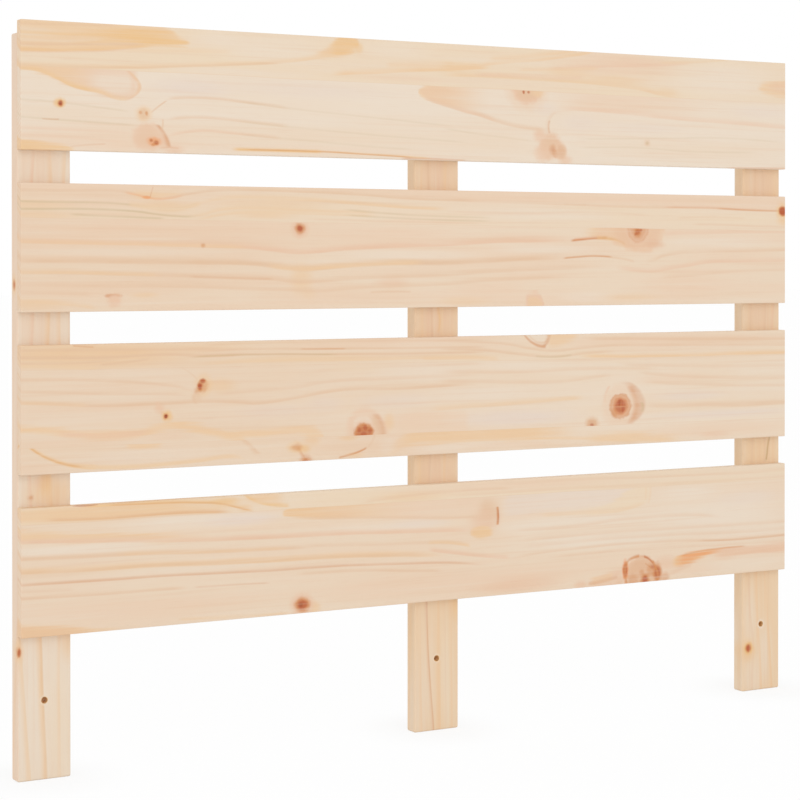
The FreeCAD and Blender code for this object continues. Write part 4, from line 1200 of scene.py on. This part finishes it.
class PinePainter:
    """Lays tone over tone in the node tree of one pine material, from the bare wood to its knots."""

    def __init__(self, name, scene, size):
        self.material = bpy.data.materials.new(name)
        self.tree = blank_tree(self.material)
        self.tones = scene.pine_tones
        self.finish = scene.pine_finish
        self.size = size
        self.colour = None

    def group(self, name, **inputs):
        """A shared group placed in this material."""
        values = {key.replace("_", " ").title(): value for key, value in inputs.items()}
        return place(self.tree, "ShaderNodeGroup", values, node_tree=shared_group(name)).outputs

    def shade(self, name):
        """A tone as a colour with alpha."""
        return (*getattr(self.tones, name), 1.0)

    def lay(self, name, mask):
        """Lay a tone over what is there, where a mask says."""
        self.colour = blended(self.tree, mask, self.colour, self.shade(name))

    def stand(self, corner, turn, seed):
        """Find where a point lies along, across and through the piece, in millimetres and in shares."""
        tree = self.tree
        finish = self.finish
        here = place(tree, "ShaderNodeTexCoord").outputs["Object"]
        inputs = {"Vector": here, "Location": corner, "Rotation": turn, "Scale": (millimetres,) * 3}
        self.plain = place(tree, "ShaderNodeMapping", inputs).outputs[0]
        self.place, self.wood = self.group(
            "Grain Space", place=self.plain, tilt=finish.tilt, lean=finish.lean,
            wander=finish.wander / half_swing, seed=(seed * finish.seed_step, 0.0, 0.0))
        parts = parted(tree, self.place)
        self.along = maths(tree, "DIVIDE", parts[0], self.size[0])
        self.across = maths(tree, "DIVIDE", parts[1], self.size[1])
        blotches = speckle(tree, self.wood, uneven_cells)
        self.uneven = maths(tree, "MULTIPLY_ADD", blotches, line_added_share, line_least_share)
        feather = sway(tree, self.wood, feather_cells, fine_detail)
        self.fray = maths(tree, "MULTIPLY", feather, finish.feathering)
        self.mottle = maths(tree, "MULTIPLY_ADD", feather, finish.mottling, 1.0)
        lumps = sway(tree, self.wood, lump_cells, fine_detail)
        self.ragged = maths(tree, "MULTIPLY", lumps, finish.raggedness)

    def curve(self, share, shares, values):
        """A smooth line through values that are each given at a share of its length."""
        node = place(self.tree, "ShaderNodeFloatCurve", {1: share})
        node.mapping.use_clip = False
        points = node.mapping.curves[0].points
        first, *inner, last = zip(shares, values)
        points[0].location = first
        points[1].location = last
        for stop in inner:
            points.new(*stop)
        node.mapping.update()
        return node.outputs[0]

    def own_share(self, value, stops):
        """How far a point has come along one line, from 0 to 1, and how far each place of the line has."""
        low, high = stops[0], stops[-1]
        inputs = {0: value, 1: low, 2: high}
        share = place(self.tree, "ShaderNodeMapRange", inputs, clamp=False).outputs[0]
        return share, [(stop - low) / (high - low) for stop in stops]

    def line(self, name, strength, before, behind, places, upright=False):
        """One line of late wood through given places."""
        stops = [along * along_unit for along, across in places]
        values = [across * across_unit for along, across in places]
        run, off, width = self.along, self.across, self.size[1]
        if upright:
            stops, values, run, off, width = values, stops, self.across, self.along, self.size[0]
        share, shares = self.own_share(run, stops)
        middle = self.curve(share, shares, values)
        mask = self.group(
            "Grain Line", across=off, line=middle, before=-before / width, behind=behind / width,
            share=share, fade_in=line_fade_share, fade_out=1 - line_fade_share,
            strength=maths(self.tree, "MULTIPLY", self.uneven, strength))
        self.lay(name, mask[0])

    def upright(self, *figure):
        """One line of late wood that runs across the grain."""
        self.line(*figure, upright=True)

    def band(self, name, strength, soft, fades, places):
        """One broad figure between two given edges."""
        stops = [along * along_unit for along, upper, lower in places]
        share, shares = self.own_share(self.along, stops)
        upper_edge = self.curve(share, shares, [upper * across_unit for along, upper, lower in places])
        lower_edge = self.curve(share, shares, [lower * across_unit for along, upper, lower in places])
        fade_in, fade_out = fades
        mask = self.group(
            "Grain Band", across=self.across, upper=upper_edge, lower=lower_edge,
            soft=soft / half_swing / self.size[1], fray=self.fray,
            share=share, fade_in=fade_in, fade_out=1 - fade_out,
            strength=maths(self.tree, "MULTIPLY", self.mottle, strength))
        self.lay(name, mask[0])

    def centre(self, along, across, depth=0.0):
        """A given place in millimetres."""
        return (along * along_unit * self.size[0], across * across_unit * self.size[1], depth)

    def patch(self, name, strength, along, across, half_length, half_height):
        """One soft oval patch."""
        reach = self.centre(half_length, half_height)
        mask = self.group(
            "Soft Patch", place=self.place, centre=self.centre(along, across),
            squeeze=(1 / reach[0], 1 / reach[1], 0.0),
            strength=maths(self.tree, "MULTIPLY", self.mottle, strength))
        self.lay(name, mask[0])

    def rings(self, where, centre, squeeze, ragged, rings):
        """Rings about a heart, laid from the outside in."""
        distance = self.group("Knot", place=where, centre=centre, squeeze=squeeze, ragged=ragged)[0]
        for name, strength, radius, soft in rings:
            inner = max(radius - soft, 0.0)
            self.lay(name, eased(self.tree, distance, radius + soft, inner, 0.0, strength))

    def knot(self, along, across, taller, rings):
        """One knot that runs straight through the piece."""
        stretch = math.sqrt(taller)
        squeeze = (stretch, 1 / stretch, 0.0)
        self.rings(self.place, self.centre(along, across), squeeze, self.ragged, rings)

    def side_knot(self, along, across, depth, squeeze, rings):
        """One knot that lies at an edge of the piece, this deep behind the front."""
        self.rings(self.plain, self.centre(along, across, depth), squeeze, self.ragged, rings)

    def hole(self, along, across, rings):
        """The bare wood in and around one drilled hole."""
        self.rings(self.plain, self.centre(along, across), (1.0, 1.0, 0.0), 0.0, rings)

    def strip(self, grain):
        """All the grain of one glued strip, as a colour."""
        cloud, strength = grain["clouds"]
        self.colour = self.shade(grain["base"])
        mist = speckle(self.tree, self.wood, cloud_cells)
        self.lay(cloud, eased(self.tree, mist, *cloud_levels, 0.0, strength))
        painters = {
            "patches": self.patch, "bands": self.band, "lines": self.line, "uprights": self.upright,
            "knots": self.knot, "cracks": self.line, "splits": self.upright,
            "side_knots": self.side_knot, "holes": self.hole,
        }
        for kind, paint in painters.items():
            for figure in grain.get(kind, ()):
                paint(*figure)
        return self.colour

    def strips(self, grains):
        """The glued strips side by side, with a fine dark seam between them."""
        whole = self.strip(grains[0])
        for upper, grain in zip(grains, grains[1:]):
            lower = self.strip(grain)
            first, last = (end * across_unit for end in upper["until"])
            seam = maths(self.tree, "MULTIPLY_ADD", self.along, last - first, first)
            side = maths(self.tree, "GREATER_THAN", self.across, seam)
            self.colour = blended(self.tree, side, whole, lower)
            gap = maths(self.tree, "ABSOLUTE", maths(self.tree, "SUBTRACT", self.across, seam))
            self.lay("tan", eased(self.tree, gap, seam_reach / self.size[1], 0.0, 0.0, seam_tint))
            whole = self.colour

    def ends(self, pith):
        """End grain: a darker tone with the arcs of growth rings about a pith."""
        tree = self.tree
        finish = self.finish
        along = parted(tree, self.plain)[0]
        first = eased(tree, along, finish.end_depth, 0.0)
        last = eased(tree, along, self.size[0] - finish.end_depth, self.size[0])
        mask = maths(tree, "MAXIMUM", first, last)
        self.lay("honey", maths(tree, "MULTIPLY", mask, finish.end_tint))
        late = self.group(
            "Growth Rings", place=self.plain, pith=pith, ring=finish.ring_width, wobble=ring_wobble)[0]
        late = maths(tree, "MULTIPLY", late, finish.ring_tint)
        self.lay("tan", maths(tree, "MULTIPLY", mask, late))

    def coat(self):
        """Fibres over the whole piece, and the shader."""
        tree = self.tree
        finish = self.finish
        streak, fibre = self.group("Pine Fibre", wood=self.wood)
        streak_tint = finish.fibre_tint * streak_share
        self.lay("tan", eased(tree, streak, *dark_levels, 0.0, streak_tint))
        self.lay("pale", eased(tree, streak, *pale_levels, 0.0, streak_tint))
        self.lay("rust", eased(tree, fibre, *fibre_levels, 0.0, finish.fibre_tint))
        smoothest = finish.roughness - rough_swing
        roughest = finish.roughness + rough_swing
        rough = eased(tree, fibre, *rough_levels, smoothest, roughest)
        inputs = {"Height": fibre, "Strength": fibre_bump, "Distance": finish.fibre_height}
        bump = place(tree, "ShaderNodeBump", inputs).outputs[0]
        inputs = {"Base Color": self.colour, "Roughness": rough, "Normal": bump,
                  "Specular IOR Level": pine_gloss}
        shader = place(tree, "ShaderNodeBsdfPrincipled", inputs).outputs[0]
        place(tree, "ShaderNodeOutputMaterial", {0: shader})
        return self.material


def dress(name, material):
    """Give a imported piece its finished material."""
    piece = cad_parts[name]
    if not piece.material_slots:
        raise RuntimeError(f"{name} has no material slot")
    for slot in piece.material_slots:
        slot.material = material


def board_material(name, grains, seed, scene):
    """The pine of one board: along X, down from its top edge and in from its front."""
    low, high = (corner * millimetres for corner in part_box(name))
    painter = PinePainter(name + "_pine", scene, (high.x - low.x, high.z - low.z))
    painter.stand((-low.x, high.z, -low.y), (math.pi / 2, 0.0, 0.0), seed)
    painter.strips(grains)
    painter.ends((0.0, board_pith[0] + board_pith_step * seed, board_pith[1]))
    return painter.coat()


def leg_material(name, grains, seed, scene):
    """The pine of one leg: up from the floor, across from its left side and in from its front."""
    low, high = (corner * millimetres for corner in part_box(name))
    painter = PinePainter(name + "_pine", scene, (high.z - low.z, high.x - low.x))
    painter.stand((-low.z, -low.x, -low.y), (math.pi / 2, 0.0, math.pi / 2), seed)
    painter.strips(grains)
    painter.ends((0.0, leg_pith[0] + leg_pith_step * seed, leg_pith[1]))
    return painter.coat()


class HEADBOARD_OT_boards(bpy.types.Operator):
    """Give each board the grain of its glued strips"""

    bl_idname = "headboard.boards"
    bl_label = "Finish Boards"

    def execute(self, context):
        for seed, (name, grains) in enumerate(grain_of_boards.items()):
            dress(name, board_material(name, grains, seed, context.scene))
        return {"FINISHED"}


class HEADBOARD_OT_legs(bpy.types.Operator):
    """Give each leg its grain"""

    bl_idname = "headboard.legs"
    bl_label = "Finish Legs"

    def execute(self, context):
        for seed, (name, grains) in enumerate(grain_of_legs.items(), len(grain_of_boards)):
            dress(name, leg_material(name, grains, seed, context.scene))
        return {"FINISHED"}


def steel_material(sizes):
    """Zinc plated steel, a little uneven."""
    material = bpy.data.materials.new("screw_steel")
    tree = blank_tree(material)
    here = place(tree, "ShaderNodeTexCoord").outputs["Object"]
    inputs = {"Vector": here, "Scale": plating_cells, "Detail": fine_detail}
    mist = place(tree, "ShaderNodeTexNoise", inputs).outputs[0]
    bright = (*sizes.steel, 1.0)
    dull = (*(dull_share * level for level in sizes.steel), 1.0)
    colour = blended(tree, eased(tree, mist, *dull_levels), bright, dull)
    rough = eased(tree, mist, *gloss_levels, *gloss_roughness)
    inputs = {"Height": mist, "Strength": plating_bump, "Distance": plating_height}
    bump = place(tree, "ShaderNodeBump", inputs).outputs[0]
    inputs = {"Base Color": colour, "Metallic": 1.0, "Roughness": rough, "Normal": bump}
    shader = place(tree, "ShaderNodeBsdfPrincipled", inputs).outputs[0]
    place(tree, "ShaderNodeOutputMaterial", {0: shader})
    return material


screw_inputs = (
    "head_diameter", "screw_length", "head_rim", "shank_diameter", "neck_length", "core_diameter",
    "thread_pitch", "tip_length", "recess_reach", "recess_wing", "recess_depth",
)


def moved(tree, geometry, **change):
    """A shape that is shifted, turned or scaled."""
    inputs = {name.title(): value for name, value in change.items()}
    return place(tree, "GeometryNodeTransform", {0: geometry, **inputs}).outputs[0]


def lowered(tree, geometry, depth):
    """A shape that is moved down by a depth."""
    return moved(tree, geometry, translation=combined(tree, 0.0, 0.0, maths(tree, "MULTIPLY", depth, -1.0)))


def round_wall(tree, top, bottom, start, height):
    """A round wall that starts this far below the flat of the head, and where it ends."""
    end = maths(tree, "ADD", start, height)
    inputs = {"Vertices": screw_sides, "Radius Top": top, "Radius Bottom": bottom, "Depth": height}
    wall = place(tree, "GeometryNodeMeshCone", inputs, fill_type="NONE").outputs["Mesh"]
    return lowered(tree, wall, end), end


def screw_thread(tree, pitch, core, ridge, height):
    """A ridge that winds up along the core of a screw."""
    turns = maths(tree, "DIVIDE", height, pitch)
    inputs = {"Resolution": thread_steps, "Rotations": turns, "Start Radius": core, "End Radius": core,
              "Height": height}
    spiral = place(tree, "GeometryNodeCurveSpiral", inputs).outputs[0]
    inputs = {"Resolution": thread_corners, "Radius": ridge}
    profile = place(tree, "GeometryNodeCurvePrimitiveCircle", inputs).outputs[0]
    inputs = {"Curve": spiral, "Profile Curve": profile, "Fill Caps": True}
    return place(tree, "GeometryNodeCurveToMesh", inputs).outputs[0]


def recess_wings(tree, reach, wide, depth):
    """The two crossed wedges that a driver recess is cut with."""
    top = maths(tree, "MULTIPLY", wide, math.sqrt(0.5))
    bottom = maths(tree, "MULTIPLY", top, recess_taper)
    inputs = {"Vertices": wing_corners, "Radius Top": top, "Radius Bottom": bottom, "Depth": depth}
    wedge = place(tree, "GeometryNodeMeshCone", inputs, fill_type="NGON").outputs["Mesh"]
    square = moved(tree, wedge, rotation=(0.0, 0.0, math.pi / 4))
    stretch = combined(tree, maths(tree, "DIVIDE", reach, wide), 1.0, recess_stretch)
    wing = lowered(tree, moved(tree, square, scale=stretch), depth)
    return wing, moved(tree, wing, rotation=(0.0, 0.0, math.pi / 2))


def screw_shape(tree, given):
    """One countersunk, threaded screw that points down, with the flat of its head at the origin."""
    diameters = ("head_diameter", "shank_diameter", "core_diameter")
    head, shank, core = (maths(tree, "MULTIPLY", given[name], 0.5) for name in diameters)
    ridge = maths(tree, "SUBTRACT", shank, core)
    inputs = {"Vertices": screw_sides, "Radius": head}
    flat = place(tree, "GeometryNodeMeshCircle", inputs, fill_type="NGON").outputs[0]
    rim, below_rim = round_wall(tree, head, head, 0.0, given["head_rim"])
    cone, below_cone = round_wall(tree, head, shank, below_rim, maths(tree, "SUBTRACT", head, shank))
    neck, below_neck = round_wall(tree, shank, shank, below_cone, given["neck_length"])
    step, below_step = round_wall(tree, shank, core, below_neck, ridge)
    above_tip = maths(tree, "SUBTRACT", given["screw_length"], given["tip_length"])
    straight = maths(tree, "SUBTRACT", above_tip, below_step)
    stem, below_stem = round_wall(tree, core, core, below_step, straight)
    point = round_wall(tree, core, 0.0, below_stem, given["tip_length"])[0]
    join = place(tree, "GeometryNodeJoinGeometry")
    for part in (flat, rim, cone, neck, step, stem, point):
        tree.links.new(part, join.inputs[0])
    inputs = {0: join.outputs[0], "Distance": weld_distance}
    body = place(tree, "GeometryNodeMergeByDistance", inputs).outputs[0]
    thread = lowered(tree, screw_thread(tree, given["thread_pitch"], core, ridge, straight), below_stem)
    union = place(tree, "GeometryNodeMeshBoolean", operation="UNION", solver="EXACT")
    for part in (body, thread):
        tree.links.new(part, union.inputs["Mesh 2"])
    inputs = {"Mesh 1": union.outputs[0]}
    cut = place(tree, "GeometryNodeMeshBoolean", inputs, operation="DIFFERENCE", solver="EXACT")
    for wing in recess_wings(tree, given["recess_reach"], given["recess_wing"], given["recess_depth"]):
        tree.links.new(wing, cut.inputs["Mesh 2"])
    return cut.outputs[0]


def screw_tree(steel):
    """Geometry nodes that drive a screw in at every point, each turned by chance."""
    tree = bpy.data.node_groups.new("Wood Screws", "GeometryNodeTree")
    tree.interface.new_socket("Geometry", in_out="INPUT", socket_type=shape)
    for name in screw_inputs:
        tree.interface.new_socket(name, in_out="INPUT", socket_type=number)
    tree.interface.new_socket("turn_seed", in_out="INPUT", socket_type="NodeSocketInt")
    tree.interface.new_socket("Geometry", in_out="OUTPUT", socket_type=shape)
    given = tree.nodes.new("NodeGroupInput").outputs
    screw = screw_shape(tree, given)

    # Among the sockets of a Random Value node, the greatest number is 3 and the result is 1
    inputs = {3: math.pi, "Seed": given["turn_seed"]}
    chance = place(tree, "FunctionNodeRandomValue", inputs, data_type="FLOAT")
    turn = combined(tree, -math.pi / 2, chance.outputs[1], 0.0)
    inputs = {"Points": given["Geometry"], "Instance": screw, "Rotation": turn}
    screws = place(tree, "GeometryNodeInstanceOnPoints", inputs).outputs[0]
    real = place(tree, "GeometryNodeRealizeInstances", {0: screws}).outputs[0]
    done = place(tree, "GeometryNodeSetMaterial", {0: real, "Material": steel}).outputs[0]
    place(tree, "NodeGroupOutput", {0: done})
    return tree


class HEADBOARD_OT_screws(bpy.types.Operator):
    """Drive a wood screw through each leg into each board, twice at every crossing"""

    bl_idname = "headboard.screws"
    bl_label = "Drive Screws"

    def execute(self, context):
        sizes = context.scene.screw_sizes
        boxes = [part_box(name) for name in screw_names]
        heads = [Vector(((low.x + high.x) / 2, high.y, (low.z + high.z) / 2)) for low, high in boxes]
        mesh = bpy.data.meshes.new("screw_places")
        mesh.from_pydata(heads, [], [])
        screws = bpy.data.objects.new("screws", mesh)
        context.scene.collection.objects.link(screws)
        modifier = screws.modifiers.new("screws", "NODES")
        modifier.node_group = screw_tree(steel_material(sizes))
        for item in modifier.node_group.interface.items_tree:
            if item.in_out == "INPUT" and hasattr(sizes, item.name):
                modifier[item.identifier] = getattr(sizes, item.name)
        finished = screws.evaluated_get(context.evaluated_depsgraph_get())
        screws.data = bpy.data.meshes.new_from_object(finished)
        screws.data.name = "screws"
        screws.modifiers.clear()
        screws.data.shade_smooth()
        screws.data.set_sharp_from_angle(angle=crease_angle)
        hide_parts(*screw_names)
        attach(screws, "root")
        return {"FINISHED"}


def straight_rays(tree):
    """1 for what the camera sees straight on, in gloss or through glass."""
    rays = place(tree, "ShaderNodeLightPath").outputs
    seen = maths(tree, "MAXIMUM", rays["Is Camera Ray"], rays["Is Glossy Ray"])
    return maths(tree, "MAXIMUM", seen, rays["Is Transmission Ray"])


def floor_material(studio):
    """A white floor that keeps a soft shadow round each foot and a faint one further off."""
    material = bpy.data.materials.new("white_floor")
    tree = blank_tree(material)
    here = place(tree, "ShaderNodeTexCoord").outputs["Object"]
    nearest = None
    for name in grain_of_legs:
        low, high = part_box(name)
        foot = Vector(((low.x + high.x) / 2, (low.y + high.y) / 2, 0.0))
        reach = reach_of(tree, vectors(tree, "SUBTRACT", here, foot), (1.0, 1.0, 1.0))
        nearest = maths(tree, "MINIMUM", nearest, reach) if nearest else reach
    far = eased(tree, nearest, studio.glow_start, studio.glow_end, studio.foot_glow, studio.floor_glow)
    seen = straight_rays(tree)
    glow = place(tree, "ShaderNodeEmission", {"Color": white, "Strength": 1.0}).outputs[0]
    matt = place(tree, "ShaderNodeBsdfDiffuse", {"Color": floor_white}).outputs[0]
    inputs = {0: maths(tree, "MULTIPLY", far, seen), 1: matt, 2: glow}
    mixed = place(tree, "ShaderNodeMixShader", inputs).outputs[0]
    place(tree, "ShaderNodeOutputMaterial", {0: mixed})
    return material


def white_world(studio):
    """Even light from all round, and a white ground for the camera, for gloss and for glass."""
    world = bpy.data.worlds.new("white_studio")
    tree = blank_tree(world)
    seen = straight_rays(tree)
    light = place(tree, "ShaderNodeBackground", {0: white, 1: studio.ambient}).outputs[0]
    ground = place(tree, "ShaderNodeBackground", {0: white, 1: 1.0}).outputs[0]
    mixed = place(tree, "ShaderNodeMixShader", {0: seen, 1: light, 2: ground}).outputs[0]
    place(tree, "ShaderNodeOutputWorld", {0: mixed})
    return world


def hang_lamp(name, watts, where, scene):
    """One large soft lamp that points at the piece."""
    lamp = bpy.data.objects.new(name, bpy.data.lights.new(name, "AREA"))
    lamp.data.size = scene.studio.lamp_size
    lamp.data.energy = watts
    lamp.location = where
    aim = Vector(scene.studio.lamp_aim) - lamp.location
    lamp.rotation_euler = aim.to_track_quat("-Z", "Y").to_euler()
    scene.collection.objects.link(lamp)


class HEADBOARD_OT_stage(bpy.types.Operator):
    """Set up the white floor, the soft light and the camera"""

    bl_idname = "headboard.stage"
    bl_label = "Set Up Studio"

    def execute(self, context):
        scene = context.scene
        studio = scene.studio
        edge = studio.floor_size / 2
        corners = [(-edge, -edge, 0), (edge, -edge, 0), (edge, edge, 0), (-edge, edge, 0)]
        mesh = bpy.data.meshes.new("floor")
        mesh.from_pydata(corners, [], [(0, 1, 2, 3)])
        floor = bpy.data.objects.new("floor", mesh)
        mesh.materials.append(floor_material(studio))
        scene.collection.objects.link(floor)

        hang_lamp("front_lamp", studio.lamp_power, studio.lamp_place, scene)
        hang_lamp("side_lamp", studio.side_power, studio.side_place, scene)

        camera = bpy.data.objects.new("camera", bpy.data.cameras.new("camera"))
        camera.location = studio.camera_place
        camera.rotation_euler = (math.pi / 2 - studio.camera_dip, 0.0, studio.camera_turn)
        camera.data.lens = studio.camera_lens
        camera.data.shift_y = studio.camera_shift
        scene.collection.objects.link(camera)
        scene.camera = camera
        scene.world = white_world(studio)
        scene.view_settings.view_transform = "Standard"
        return {"FINISHED"}


class HEADBOARD_PT_panel(bpy.types.Panel):
    """Lists the steps that finish the headboard"""

    bl_idname = "HEADBOARD_PT_panel"
    bl_label = "Headboard"
    bl_space_type = "VIEW_3D"
    bl_region_type = "UI"
    bl_category = "Headboard"

    def draw(self, context):
        for operator in operators:
            self.layout.operator(operator.bl_idname)


operators = (HEADBOARD_OT_boards, HEADBOARD_OT_legs, HEADBOARD_OT_screws, HEADBOARD_OT_stage)
settings = {"pine_tones": PineTones, "pine_finish": PineFinish, "screw_sizes": ScrewSizes, "studio": Studio}


def register():
    """Make the settings, the operators and the panel known to Blender."""
    for name, group in settings.items():
        bpy.utils.register_class(group)
        setattr(bpy.types.Scene, name, bpy.props.PointerProperty(type=group))
    for cls in (*operators, HEADBOARD_PT_panel):
        bpy.utils.register_class(cls)


def unregister():
    """Take the panel, the operators and the settings out again."""
    for cls in (HEADBOARD_PT_panel, *reversed(operators)):
        bpy.utils.unregister_class(cls)
    for name, group in settings.items():
        delattr(bpy.types.Scene, name)
        bpy.utils.unregister_class(group)


def main():
    """Finish the piece and set up the studio."""
    register()
    bpy.ops.headboard.boards()
    bpy.ops.headboard.legs()
    bpy.ops.headboard.screws()
    bpy.ops.headboard.stage()


if __name__ == "__main__":
    main()
